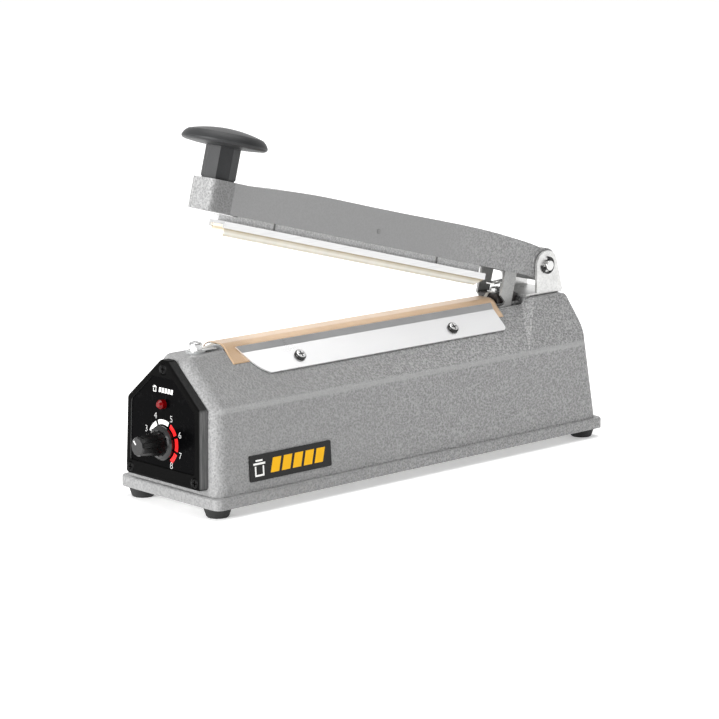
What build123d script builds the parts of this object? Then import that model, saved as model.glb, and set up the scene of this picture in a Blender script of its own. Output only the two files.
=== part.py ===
from build123d import *
import math
import os

# Impulse heat sealer: a die-cast base with the sealing bar on its roof, and a
# cast arm hinged at the rear that presses a silicone strip onto the bar.
# Millimetres, +Z up, +X from the control panel towards the hinge.
# The working frame has x = 0 at the front of the flange and z = 0 at its
# underside; everything is moved to the final origin when it is written.

# ------------------------------------------------------------ driving dimensions
BASE_L = 320.0            # flange length
FLANGE_HALF = 44.5        # flange half width
FLANGE_H = 6.6            # flange height
FLANGE_R = 5.0            # flange corner radius
FOOT_H = 6.0              # height of the rubber feet below the flange
WALL_INSET = 2.25         # wall set back from the flange edge
FRONT_LEAN = 1.6          # draft of the front wall, degrees
REAR_LEAN = 6.6           # draft of the rear wall, degrees
SIDE_LEAN = 4.26          # draft of the side walls, degrees
RIDGE_Z = 55.3            # edge between side wall and sloping shoulder
BED_Z = 81.7              # flat top that carries the sealing bar
BED_HALF = 9.7            # its half width
SADDLE_Z = 84.5           # raised seat of the hinge bracket
SADDLE_HALF = 19.7
SADDLE_X = 281.0          # front edge of the seat
SADDLE_FOOT_X = 257.0     # where the seat's front face meets the ridge
WALL_T = 3.2              # casting wall thickness
FRONT_ROUND = 7.5         # rounding all round the front wall

PIN_X, PIN_Z = 296.2, 103.0   # hinge axis
PIN_R = 3.2
HUB_HALF = 13.6           # half length of the hinge hub
OPEN_ANGLE = 14.5         # slope of the arm at rest, degrees
CROSS_PIN_X = 150.4       # pivot of the pressure bar, in the level arm
CROSS_PIN_Z = 102.2
SILICONE_Z = 82.0         # lower face of the silicone strip, in the level arm
CLOSED_GAP = 0.4          # clearance left over the cover at the end of the travel

BAR_X0, BAR_X1 = 36.0, 256.5  # sealing bar
BAR_TOP = 85.0
PTFE_T = 0.25
PTFE_TOP = 85.75

ARM_X0 = 17.0             # front end of the arm, level
ARM_BOTTOM = 94.4
ARM_HALF_FRONT = 10.3
ARM_HALF_REAR = 12.9
HUB_R = 10.6
HANDLE_X = 28.8
KNOB_V = 26.1             # timer knob centre, up the front wall from the flange
PANEL_T = 6.3


def tan_d(angle):
    return math.tan(math.radians(angle))


FRONT_X0 = WALL_INSET
REAR_X0 = BASE_L - WALL_INSET
SHOULDER = math.degrees(math.atan2(BED_Z - RIDGE_Z, 0.0 + (FLANGE_HALF - WALL_INSET)
                                   - (RIDGE_Z - FLANGE_H) * tan_d(SIDE_LEAN) - BED_HALF))


def front_x(z):
    return FRONT_X0 + (z - FLANGE_H) * tan_d(FRONT_LEAN)


def rear_x(z):
    return REAR_X0 - (z - FLANGE_H) * tan_d(REAR_LEAN)


def wall_half(z):
    return FLANGE_HALF - WALL_INSET - (z - FLANGE_H) * tan_d(SIDE_LEAN)


RIDGE_HALF = wall_half(RIDGE_Z)


def shoulder_z(y):
    return BED_Z - (abs(y) - BED_HALF) * tan_d(SHOULDER)


# ------------------------------------------------------------ local frames
def tilted_plane(origin, x_dir, z_dir):
    return Plane(origin=origin, x_dir=x_dir, z_dir=z_dir)


# Front wall: local x to a viewer's right, local y up the wall, local z outwards.
FRONT = tilted_plane((FRONT_X0, 0, FLANGE_H), (0, -1, 0),
                     (-math.cos(math.radians(FRONT_LEAN)), 0,
                      math.sin(math.radians(FRONT_LEAN)))).location
REAR = tilted_plane((REAR_X0, 0, FLANGE_H), (0, 1, 0),
                    (math.cos(math.radians(REAR_LEAN)), 0,
                     math.sin(math.radians(REAR_LEAN)))).location
NEAR_SIDE = tilted_plane((0, -wall_half(FLANGE_H), FLANGE_H), (1, 0, 0),
                         (0, -math.cos(math.radians(SIDE_LEAN)),
                          math.sin(math.radians(SIDE_LEAN)))).location
# Near shoulder: local y is 0 at the bed's edge and negative down the slope.
NEAR_SHOULDER = tilted_plane((0, -BED_HALF, BED_Z), (1, 0, 0),
                             (0, -math.sin(math.radians(SHOULDER)),
                              math.cos(math.radians(SHOULDER)))).location
# The arm is drawn level and then lifted about the hinge axis.
ARM = Pos(PIN_X, 0, PIN_Z) * Rot(0, OPEN_ANGLE, 0) * Pos(-PIN_X, 0, -PIN_Z)


# ------------------------------------------------------------ small builders
def box(x0, x1, y0, y1, z0, z1):
    centre = Pos((x0 + x1) / 2, (y0 + y1) / 2, (z0 + z1) / 2)
    return centre * Box(x1 - x0, y1 - y0, z1 - z0)


def cyl_z(x, y, z0, z1, r):
    return Pos(x, y, (z0 + z1) / 2) * Cylinder(r, z1 - z0)


def cyl_y(x, z, y0, y1, r):
    return Pos(x, (y0 + y1) / 2, z) * Rot(90, 0, 0) * Cylinder(r, y1 - y0)


def rounded_section(x0, x1, half, r_front, r_rear, z):
    face = Pos((x0 + x1) / 2, 0, z) * Rectangle(x1 - x0, 2 * half)
    groups = face.vertices().group_by(Axis.X)
    face = fillet(groups[0], r_front)
    groups = face.vertices().group_by(Axis.X)
    face = fillet(groups[-1], r_rear)
    return face


def drafted(lower, upper):
    return loft([lower.face(), upper.face()], ruled=True)


def prism_xz(points, y0, y1):
    """Closed XZ outline drawn out along Y."""
    wire = Polyline(*[(x, 0, z) for x, z in points], close=True)
    return Pos(0, y0, 0) * extrude(make_face(wire), amount=y1 - y0, dir=(0, 1, 0))


def prism_yz(points, x0, x1):
    """Closed YZ outline drawn out along X."""
    wire = Polyline(*[(0, y, z) for y, z in points], close=True)
    return Pos(x0, 0, 0) * extrude(make_face(wire), amount=x1 - x0, dir=(1, 0, 0))


def outline(points, radii, depth):
    """Closed local XY outline with rounded corners, drawn out along local Z."""
    face = make_face(Polyline(*points, close=True))
    for point, radius in zip(points, radii):
        if radius > 0:
            corner = face.vertices().sort_by_distance((point[0], point[1], 0))[0]
            face = fillet(corner, radius)
    return extrude(face, amount=depth)


def offset_path(points, distance):
    """Open path moved sideways to its left, with mitred corners."""
    result = []
    for i, (a, b) in enumerate(points):
        normals = []
        if i > 0:
            pa, pb = points[i - 1]
            length = math.hypot(a - pa, b - pb)
            normals.append((-(b - pb) / length, (a - pa) / length))
        if i < len(points) - 1:
            na, nb = points[i + 1]
            length = math.hypot(na - a, nb - b)
            normals.append((-(nb - b) / length, (na - a) / length))
        mx = sum(n[0] for n in normals) / len(normals)
        my = sum(n[1] for n in normals) / len(normals)
        scale = distance / (mx * mx + my * my)
        result.append((a + mx * scale, b + my * scale))
    return result


def strip_section(path, near, far):
    return offset_path(path, near) + list(reversed(offset_path(path, far)))


def pan_head(r, h):
    """Pan head standing on local z = 0, with a cross recess."""
    head = Cylinder(r, h, align=(Align.CENTER, Align.CENTER, Align.MIN))
    head = fillet(head.edges().group_by(Axis.Z)[-1], 0.55 * h)
    slot = Pos(0, 0, h) * (Box(1.15 * r, 0.24 * r, 1.1 * h) + Box(0.24 * r, 1.15 * r, 1.1 * h))
    return head - slot


def pan_screw(r_head, h_head, r_shank, length):
    shank = Pos(0, 0, -length / 2) * Cylinder(r_shank, length)
    return pan_head(r_head, h_head) + shank


def try_fillet(shape, edges, radius):
    """Fillet as large as the corner allows."""
    for factor in (1.0, 0.7, 0.45, 0.25):
        try:
            result = fillet(edges, radius * factor)
            if result.is_valid and result.volume > 0:
                return result
        except (ValueError, RuntimeError, Exception):
            continue
    return shape


def mirrored(shape):
    return mirror(shape, about=Plane.XZ)


# ------------------------------------------------------------ base casting
def end_cut(x_of_z, outward):
    """Everything beyond a leaning end wall."""
    low, high = FLANGE_H - 3, SADDLE_Z + 5
    far = -20 if outward < 0 else BASE_L + 20
    return prism_xz([(far, low), (x_of_z(low), low), (x_of_z(high), high), (far, high)], -60, 60)


def casting_shell():
    flange = extrude(rounded_section(0, BASE_L, FLANGE_HALF, FLANGE_R, FLANGE_R, 0),
                     amount=FLANGE_H)
    flange = fillet(flange.edges().group_by(Axis.Z)[-1], 1.4)
    low = FLANGE_H - 1
    right = [(wall_half(low), low), (RIDGE_HALF, RIDGE_Z), (BED_HALF, BED_Z)]
    house = prism_yz(right + [(-y, z) for y, z in reversed(right)], -5, BASE_L + 5)
    house = house - end_cut(front_x, -1) - end_cut(rear_x, 1)
    right = [(RIDGE_HALF, RIDGE_Z), (SADDLE_HALF, SADDLE_Z)]
    saddle = prism_yz(right + [(-y, z) for y, z in reversed(right)], 200, BASE_L + 5)
    saddle = saddle - end_cut(rear_x, 1)
    saddle = saddle - prism_xz([(150, RIDGE_Z - 1), (SADDLE_FOOT_X, RIDGE_Z - 1),
                                (SADDLE_FOOT_X, RIDGE_Z), (SADDLE_X, SADDLE_Z),
                                (SADDLE_X, SADDLE_Z + 5), (150, SADDLE_Z + 5)], -60, 60)
    return flange, house + saddle


def soften(body):
    front = body.faces().sort_by(Axis.X)[0]
    body = try_fillet(body, [e for e in front.edges() if e.center().Z > FLANGE_H], FRONT_ROUND)
    upright = [e for e in body.edges() if e.center().X > BASE_L - 40
               and abs(e.tangent_at(0.5).Z) > 0.97 and e.length > 30]
    body = try_fillet(body, upright, 8.0)
    top = body.faces().filter_by(Axis.Z).sort_by(Axis.Z)[-1]
    body = try_fillet(body, top.edges(), 2.6)
    ridge = [e for e in body.edges()
             if abs(e.center().Z - RIDGE_Z) < 0.3 and e.length > 60]
    body = try_fillet(body, ridge, 3.0)
    return body


def casting_cavity():
    inner_bed = BED_Z - WALL_T / math.cos(math.radians(SHOULDER))
    ceiling = BED_Z - 3.3
    waist = 53.6

    def inner_half(z):
        return BED_HALF + (inner_bed - z) / tan_d(SHOULDER)

    lower = drafted(
        rounded_section(front_x(0) + WALL_T, rear_x(0) - WALL_T, wall_half(0) - WALL_T,
                        5.0, 5.0, 0),
        rounded_section(front_x(waist) + WALL_T, rear_x(waist) - WALL_T, inner_half(waist),
                        5.0, 5.0, waist))
    upper = drafted(
        rounded_section(front_x(waist) + WALL_T, rear_x(waist) - WALL_T, inner_half(waist),
                        5.0, 5.0, waist),
        rounded_section(front_x(ceiling) + WALL_T, rear_x(ceiling) - WALL_T,
                        inner_half(ceiling), 2.0, 2.0, ceiling))
    return lower + upper


PLATE_X0, PLATE_X1, PLATE_HALF, PLATE_T = 3.4, BASE_L - 3.4, 41.2, 1.2
FOOT_XY = [(x, y) for x in (9.1, BASE_L - 9.1) for y in (-33.4, 33.4)]
CLAMP_SCREW_X = (84.2, 209.0)
CLAMP_SCREW_V = -12.3
PANEL_SCREWS = ((0.0, 68.5), (-28.8, 7.4), (28.8, 7.4))
LAMP_V = 48.5
LEG_SLOT = (255.4, 281.0, 8.7, 11.8)
FRONT_TERMINAL_X = 22.0
BRACKET_SCREWS = ((298.0, -7.6), (298.0, 7.6))
REAR_BLOCK = (259.6, 276.0, 8.0, 87.6)     # x0, x1, half width, top
BLOCK_SCREW_X = 266.4
GROMMET_V = 18.0


def make_base_casting():
    flange, body = casting_shell()
    body = flange + soften(body)
    body = body - casting_cavity()
    body = body - extrude(rounded_section(PLATE_X0 - 0.2, PLATE_X1 + 0.2, PLATE_HALF + 0.2,
                                          3.0, 3.0, 0), amount=PLATE_T)
    for x, y in FOOT_XY:
        body = body + cyl_z(x, y, PLATE_T, 15.0, 6.0)
        body = body - cyl_z(x, y, PLATE_T - 1, 13.5, 2.0)
    for x in CLAMP_SCREW_X:
        tool = NEAR_SHOULDER * (Pos(x, CLAMP_SCREW_V, -2) * Cylinder(2.0, 12))
        body = body - tool - mirrored(tool)
    for u, v in PANEL_SCREWS:
        body = body - FRONT * (Pos(u, v, -2) * Cylinder(1.75, 8))
    body = body - FRONT * (Pos(0, KNOB_V, -2) * Cylinder(4.7, 10))
    body = body - FRONT * (Pos(0, LAMP_V, -2) * Cylinder(4.1, 10))
    body = body - REAR * (Pos(0, GROMMET_V, -2) * Cylinder(5.0, 10))
    x0, x1, y0, y1 = LEG_SLOT
    for side in (-1, 1):
        body = body - box(x0, x1, min(side * y0, side * y1), max(side * y0, side * y1), 60, 95)
    body = body - cyl_z(FRONT_TERMINAL_X, 0, 70, 90, 3.6)
    body = body - cyl_z(BLOCK_SCREW_X, 0, 70, 90, 2.0)
    for x, y in BRACKET_SCREWS:
        body = body - cyl_z(x, y, 70, 90, 2.0)
    return body


def make_bottom_plate():
    plate = extrude(rounded_section(PLATE_X0, PLATE_X1, PLATE_HALF, 2.8, 2.8, 0), amount=PLATE_T)
    for x, y in FOOT_XY:
        plate = plate - cyl_z(x, y, -1, 3, 2.1)
    for x in TRANSFORMER_SCREW_X + BRIDGE_SCREW_X:
        plate = plate - cyl_z(x, 0, -1, 3, 2.05)
    for i in range(7):
        plate = plate - box(176 + 6 * i, 178.4 + 6 * i, -16, 16, -1, 3)
    return plate


def make_foot(x, y):
    profile = Polyline((0, 0, 0), (8.0, 0, 0), (8.0, 0, -1.2), (6.6, 0, -FOOT_H + 0.6),
                       (6.0, 0, -FOOT_H), (0, 0, -FOOT_H), close=True)
    foot = revolve(make_face(profile), axis=Axis.Z)
    foot = foot - cyl_z(0, 0, -FOOT_H - 1, -2.8, 4.2) - cyl_z(0, 0, -4, 1, 2.1)
    return Pos(x, y, 0) * foot


def make_foot_screw(x, y):
    screw = Rot(180, 0, 0) * pan_screw(3.8, 2.2, 1.95, 14.0)
    return Pos(x, y, -2.8) * screw


# ------------------------------------------------------------ control panel
PANEL_SHAPE = [(-33.4, 3.3), (33.4, 3.3), (32.4, 48.8), (3.3, 73.7), (-3.3, 73.7), (-32.4, 48.8)]
LABEL_SHAPE = [(-28.9, 11.8), (28.9, 11.8), (28.4, 47.2), (9.2, 63.8), (-9.2, 63.8),
               (-28.4, 47.2)]
LABEL_W0, LABEL_T = PANEL_T - 1.1, 0.4


def make_front_panel():
    panel = outline(PANEL_SHAPE, [2.4, 2.4, 3.0, 2.6, 2.6, 3.0], PANEL_T)
    panel = try_fillet(panel, panel.edges().group_by(Axis.Z)[-1], 1.9)
    panel = panel - Pos(0, 0, LABEL_W0) * outline(LABEL_SHAPE, [1.5, 1.5, 2.5, 1.5, 1.5, 2.5], 3)
    panel = panel - Pos(0, KNOB_V, 0) * Cylinder(4.7, 20)
    panel = panel - Pos(0, LAMP_V, 0) * Cylinder(4.1, 20)
    for u, v in PANEL_SCREWS:
        panel = panel - Pos(u, v, 0) * Cylinder(1.8, 20)
        panel = panel - Pos(u, v, PANEL_T) * Cylinder(3.35, 4.0)
    return FRONT * panel


def make_panel_label():
    inset = [(x * 0.994, y) for x, y in LABEL_SHAPE]
    inset = [(x, y + (0.2 if y < 20 else -0.2)) for x, y in inset]
    label = outline(inset, [1.4, 1.4, 2.4, 1.4, 1.4, 2.4], LABEL_T)
    label = label - Pos(0, KNOB_V, 0) * Cylinder(4.7, 4)
    label = label - Pos(0, LAMP_V, 0) * Cylinder(2.9, 4)
    return FRONT * (Pos(0, 0, LABEL_W0) * label)


def make_panel_screws():
    return [FRONT * (Pos(u, v, PANEL_T - 2.0) * pan_screw(3.15, 2.0, 1.7, 6.5))
            for u, v in PANEL_SCREWS]


KNOB_W0 = 6.0             # back of the knob's skirt, out from the wall
KNOB_W1 = 24.6            # tip of the knob
KNOB_FLUTES = 12


def flute_ring(radius, w):
    step = 360.0 / KNOB_FLUTES
    points = []
    for i in range(KNOB_FLUTES):
        angle = math.radians(step * i)
        points.append((radius * math.cos(angle), radius * math.sin(angle), w))
    return make_face(Polyline(*points, close=True))


def make_timer_knob():
    grip_w = KNOB_W0 + 2.4
    profile = Polyline((0, 0, KNOB_W0), (10.0, 0, KNOB_W0), (10.0, 0, KNOB_W0 + 1.5),
                       (9.1, 0, grip_w), (7.6, 0, grip_w + 0.4), (0, 0, grip_w + 0.4), close=True)
    knob = revolve(make_face(profile), axis=Axis.Z)
    foot_w, neck_w = grip_w - 0.3, KNOB_W1 - 0.9
    knob = knob + loft([flute_ring(7.35, foot_w), flute_ring(5.75, neck_w)], ruled=True)
    knob = knob + loft([flute_ring(5.75, neck_w), flute_ring(5.0, KNOB_W1)], ruled=True)
    tilt = math.degrees(math.atan2(7.35 - 5.75, neck_w - foot_w))
    for i in range(KNOB_FLUTES):
        groove = Pos(6.62, 0, (foot_w + neck_w) / 2) * Rot(0, -tilt, 0)
        groove = groove * Cylinder(0.55, neck_w - foot_w + 4.0)
        knob = knob - Rot(0, 0, 360.0 / KNOB_FLUTES * i) * groove
    knob = knob - Pos(0, 0, KNOB_W0) * Cylinder(7.4, 4.4)
    knob = knob - Pos(0, 0, KNOB_W0 + 3.5) * Cylinder(3.02, 24.0)
    pointer = Pos(8.6, 0, KNOB_W0 + 1.6) * Box(2.8, 1.0, 1.6)
    knob = knob + Rot(0, 0, 90 + POINTER_ANGLE) * pointer
    return knob


POINTER_ANGLE = 46.0      # the pointer stands between marks 3 and 4


def make_potentiometer_shaft():
    return Pos(0, KNOB_V, 0) * (Pos(0, 0, 7.6) * Cylinder(3.0, 26.8))


def make_potentiometer_body():
    body = Pos(0, 0, -8.0) * Cylinder(8.2, 8.8)
    body = body + Pos(0, 0, 2.2) * Cylinder(4.5, 11.8)
    body = body + box(-5.5, 5.5, -12.6, -4, -10.6, -9.6)
    body = body - Pos(0, 0, 9.1) * Cylinder(3.05, 30.4)
    return FRONT * (Pos(0, KNOB_V, 0) * body)


def make_potentiometer_nut():
    nut = extrude(RegularPolygon(radius=6.2, side_count=6), amount=1.9) - Cylinder(4.55, 8)
    return FRONT * (Pos(0, KNOB_V, LABEL_W0 + LABEL_T) * nut)


def make_lamp_lens():
    lens = Pos(0, 0, 6.2) * Cylinder(2.65, 4.0)
    jewel = loft([(Pos(0, 0, 8.2) * RegularPolygon(radius=2.65, side_count=8)).face(),
                  (Pos(0, 0, 9.8) * RegularPolygon(radius=1.6, side_count=8)).face()],
                 ruled=True)
    return FRONT * (Pos(0, LAMP_V, 0) * (lens + jewel))


def make_lamp_holder():
    holder = Pos(0, 0, -4.9) * Cylinder(4.0, 18.2)
    holder = holder + Pos(0, 0, -4.4) * Cylinder(5.4, 1.6)
    return FRONT * (Pos(0, LAMP_V, 0) * holder)


BOARD_W = -12.5


def make_timer_board():
    board = box(-22, 22, 9, 41.5, BOARD_W - 1.6, BOARD_W)
    return FRONT * board


def make_board_relay():
    relay = box(-19, -3.4, 12, 31, BOARD_W - 17.2, BOARD_W - 1.6)
    relay = try_fillet(relay, relay.edges().group_by(Axis.Z)[0], 0.8)
    return FRONT * relay


def make_board_capacitors():
    large = Pos(9, 19, BOARD_W - 1.6 - 6.5) * Cylinder(6.2, 13.0)
    small = Pos(16.5, 33, BOARD_W - 1.6 - 4.0) * Cylinder(3.6, 8.0)
    return [FRONT * large, FRONT * small]


# ------------------------------------------------------------ transformer
TRANSFORMER_X = 122.0
TRANSFORMER_SCREW_X = [TRANSFORMER_X - 35, TRANSFORMER_X + 35]
CORE_H = 45.0


def make_transformer_core():
    x = TRANSFORMER_X
    core = box(x - 27, x + 27, -13, 13, PLATE_T, PLATE_T + CORE_H)
    for side in (-1, 1):
        c = x + side * 13.5
        core = core - box(c - 4.5, c + 4.5, -14, 14, PLATE_T + 9, PLATE_T + CORE_H - 9)
    return core


def make_transformer_coil():
    x = TRANSFORMER_X
    z0, z1 = PLATE_T + 9.3, PLATE_T + CORE_H - 9.3
    coil = box(x - 17.7, x + 17.7, -22, 22, z0, z1)
    coil = try_fillet(coil, coil.edges().filter_by(Axis.Z), 4.0)
    return coil - box(x - 9.2, x + 9.2, -13.2, 13.2, z0 - 1, z1 + 1)


def make_transformer_frame():
    x = TRANSFORMER_X
    top = PLATE_T + CORE_H
    frame = box(x - 28.2, x + 28.2, -10, 10, top, top + 1.2)
    for side in (-1, 1):
        a, b = sorted((x + side * 27.0, x + side * 28.2))
        frame = frame + box(a, b, -10, 10, PLATE_T, top)
        a, b = sorted((x + side * 28.2, x + side * 41.0))
        frame = frame + box(a, b, -10, 10, PLATE_T, PLATE_T + 1.2)
    for sx in TRANSFORMER_SCREW_X:
        frame = frame - cyl_z(sx, 0, 0, 4, 2.05)
    return frame


def make_plate_screws(xs):
    return [Pos(x, 0, 0) * (Rot(180, 0, 0) * pan_screw(3.6, 2.1, 1.95, 6.5)) for x in xs]


# ------------------------------------------------------------ switch and return spring
SHELF_Z = 49.0
BRIDGE_X0, BRIDGE_X1 = 236.0, 294.0
BRIDGE_SCREW_X = [BRIDGE_X0 - 7, BRIDGE_X1 + 7]
SPRING_X, SPRING_Y = 264.9, 4.2
SPRING_TOP = 65.2


def make_switch_bridge():
    t = 1.5
    bridge = box(BRIDGE_X0, BRIDGE_X1, -13, 13, SHELF_Z - t, SHELF_Z)
    bridge = bridge + box(BRIDGE_X0, BRIDGE_X0 + t, -13, 13, PLATE_T, SHELF_Z)
    bridge = bridge + box(BRIDGE_X1 - t, BRIDGE_X1, -13, 13, PLATE_T, SHELF_Z)
    bridge = bridge + box(BRIDGE_X0 - 13, BRIDGE_X0, -13, 13, PLATE_T, PLATE_T + t)
    bridge = bridge + box(BRIDGE_X1, BRIDGE_X1 + 13, -13, 13, PLATE_T, PLATE_T + t)
    bridge = bridge + box(246, 266, -2.9, -1.7, SHELF_Z, SHELF_Z + 8.5)
    for x in (249.5, 257.5):
        bridge = bridge - cyl_y(x, SHELF_Z + 3.2, -4, 0, 1.1)
    for x in BRIDGE_SCREW_X:
        bridge = bridge - cyl_z(x, 0, 0, 4, 2.05)
    return bridge


def make_microswitch_body():
    body = box(246, 266, -9.3, -2.9, SHELF_Z, SHELF_Z + 10.2)
    body = body - cyl_z(PLUNGER_X, PLUNGER_Y, SHELF_Z + 7.4, SHELF_Z + 12, 1.3)
    for x in (249.5, 257.5):
        body = body - cyl_y(x, SHELF_Z + 3.2, -12, 0, 1.1)
    return body


PLUNGER_X, PLUNGER_Y = 256.0, -6.1


def make_microswitch_plunger():
    plunger = cyl_z(PLUNGER_X, PLUNGER_Y, SHELF_Z + 9.0, SHELF_Z + 11.6, 1.22)
    return try_fillet(plunger, plunger.edges().group_by(Axis.Z)[-1], 0.5)


def make_microswitch_screws():
    screws = []
    for x in (249.5, 257.5):
        screw = pan_screw(2.0, 1.2, 1.08, 8.0)
        screws.append(Pos(x, -9.3, SHELF_Z + 3.2) * (Rot(90, 0, 0) * screw))
    return screws


def make_return_spring():
    """Compression spring: a closed helix with ground ends."""
    wire_r, coil_r, turns = 0.6, 3.5, 7.0
    height = SPRING_TOP - SHELF_Z - 2 * wire_r
    path = Helix(pitch=height / turns, height=height, radius=coil_r)
    start = Plane(origin=path @ 0, z_dir=path % 0)
    coil = sweep(start * Circle(wire_r), path=path, is_frenet=True)
    return Pos(SPRING_X, SPRING_Y, SHELF_Z + wire_r) * coil


# ------------------------------------------------------------ sealing bar
def make_sealing_bar():
    half = [(8.8, BED_Z), (8.0, 83.6), (5.0, BAR_TOP)]
    points = [(-y, z) for y, z in half] + [(y, z) for y, z in reversed(half)]
    return prism_yz(points, BAR_X0, BAR_X1)


def make_insulation_strip():
    return box(BAR_X0 + 1, BAR_X1 - 0.5, -4.7, 4.7, BAR_TOP, BAR_TOP + 0.2)


def make_heating_element():
    z = BAR_TOP + 0.2
    path = [(26.2, 83.6), (29.5, 83.6), (BAR_X0 - 0.5, z), (BAR_X1 + 0.3, z),
            (REAR_BLOCK[0] - 0.4, REAR_BLOCK[3]), (BLOCK_SCREW_X - 2.3, REAR_BLOCK[3])]
    section = offset_path(path, 0.0) + list(reversed(offset_path(path, 0.18)))
    return prism_xz(section, -1.25, 1.25)


def cover_path():
    half = [(16.9, shoulder_z(16.9) + 0.08), (12.0, shoulder_z(12.0) + 0.08),
            (8.3, 83.78), (5.1, PTFE_TOP - PTFE_T)]
    return [(-y, z) for y, z in half] + [(y, z) for y, z in reversed(half)]


def make_ptfe_cover():
    return prism_yz(strip_section(cover_path(), 0.0, PTFE_T), BAR_X0 - 0.2, BAR_X1)


CLAMP_X0, CLAMP_X1 = 41.8, 251.0


def make_clamp_strip():
    bend = shoulder_z(12.3) + 0.08
    path = [(-24.5, shoulder_z(24.5) + 0.08), (-12.3, bend), (-9.9, bend + 2.4 * tan_d(58.5))]
    strip = prism_yz(strip_section(path, PTFE_T + 0.06, PTFE_T + 0.96), CLAMP_X0, CLAMP_X1)
    edge = Spline((40.0, 5.0), (42.6, 1.0), (45.4, -3.4), (47.8, -8.6), (51.2, -14.6),
                  (56.4, -19.2), (64.0, -21.2))
    rest = Polyline((64.0, -21.2), (64.0, -26.0), (34.0, -26.0), (34.0, 5.0), (40.0, 5.0))
    cutter = extrude(make_face(edge + rest), amount=8)
    strip = strip - NEAR_SHOULDER * (Pos(0, 0, -3) * cutter)
    corner = Pos(CLAMP_X1 + 0.1, -20.4, 0) * Rectangle(8, 8)
    corner = corner - Pos(CLAMP_X1 - 3.9, -16.4, 0) * Circle(4.0)
    keep = Pos(CLAMP_X1 - 3.9 - 4, -16.4 + 4, 0) * Rectangle(16, 8)
    corner = corner - keep - Pos(CLAMP_X1 - 3.9 - 4, -16.4, 0) * Rectangle(8, 16)
    strip = strip - NEAR_SHOULDER * (Pos(0, 0, -3) * extrude(corner, amount=8))
    for x in CLAMP_SCREW_X:
        strip = strip - NEAR_SHOULDER * (Pos(x, CLAMP_SCREW_V, 0) * Cylinder(2.1, 8))
    return strip


def make_clamp_screws():
    seat = PTFE_T + 0.96 + 0.08
    near = [NEAR_SHOULDER * (Pos(x, CLAMP_SCREW_V, seat) * pan_screw(3.6, 2.1, 1.95, 7.6))
            for x in CLAMP_SCREW_X]
    return near + [mirrored(s) for s in near]


# ------------------------------------------------------------ terminals
def make_front_terminal_bush():
    bush = cyl_z(FRONT_TERMINAL_X, 0, BED_Z, BED_Z + 1.2, 5.7)
    bush = bush + cyl_z(FRONT_TERMINAL_X, 0, BED_Z - 6.0, BED_Z, 3.55)
    return bush - cyl_z(FRONT_TERMINAL_X, 0, 70, 90, 2.0)


def make_front_terminal_lug():
    z = BED_Z + 1.2
    lug = cyl_z(FRONT_TERMINAL_X, 0, z, z + 0.7, 4.4) + box(22, 34.6, -3.8, 3.8, z, z + 0.7)
    return lug - cyl_z(FRONT_TERMINAL_X, 0, 70, 90, 2.0)


def make_front_terminal_nut():
    z = BED_Z + 1.9
    nut = Pos(FRONT_TERMINAL_X, 0, z) * extrude(RegularPolygon(radius=3.95, side_count=6),
                                                amount=1.8)
    return nut - cyl_z(FRONT_TERMINAL_X, 0, 70, 90, 2.0)


def make_front_terminal_screw():
    return Pos(FRONT_TERMINAL_X, 0, BED_Z + 3.7) * pan_screw(3.7, 2.6, 1.95, 13.0)


def make_rear_terminal_block():
    x0, x1, half, top = REAR_BLOCK
    block = box(x0, x1, -half, half, BED_Z, top)
    block = try_fillet(block, block.edges().group_by(Axis.Z)[-1], 0.8)
    return block - cyl_z(BLOCK_SCREW_X, 0, 70, 90, 2.0)


def make_rear_terminal_strap():
    top = REAR_BLOCK[3]
    path = [(262.6, top + 0.2), (274.6, top + 0.2), (274.6, top + 6.8), (261.6, top + 6.2)]
    strap = prism_xz(strip_section(path, 0.0, 0.8), -3.6, 3.6)
    return strap - cyl_z(BLOCK_SCREW_X, 0, 70, 99, 2.0)


def make_rear_terminal_screw():
    return Pos(BLOCK_SCREW_X, 0, REAR_BLOCK[3] + 1.0) * pan_screw(3.4, 2.3, 1.95, 13.0)


# ------------------------------------------------------------ trim on the base
def make_side_badge():
    badge = outline([(26, 5.6), (88.3, 5.6), (88.3, 20.6), (26, 20.6)], [0.8] * 4, 0.6)
    return NEAR_SIDE * badge


def make_cord_grommet():
    profile = Polyline((3.3, 0, -5.2), (7.4, 0, -5.2), (7.4, 0, -3.3), (4.95, 0, -3.3),
                       (4.95, 0, 0.0), (7.6, 0, 0.0), (7.6, 0, 1.2), (6.6, 0, 2.2),
                       (3.3, 0, 2.2), close=True)
    ring = revolve(make_face(profile), axis=Axis.Z)
    return REAR * (Pos(0, GROMMET_V, 0) * ring)


# ------------------------------------------------------------ hinge
EAR_T = 1.8
EAR_HALF = 16.0
BRACKET_X0, BRACKET_X1 = 287.0, 308.8


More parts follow.
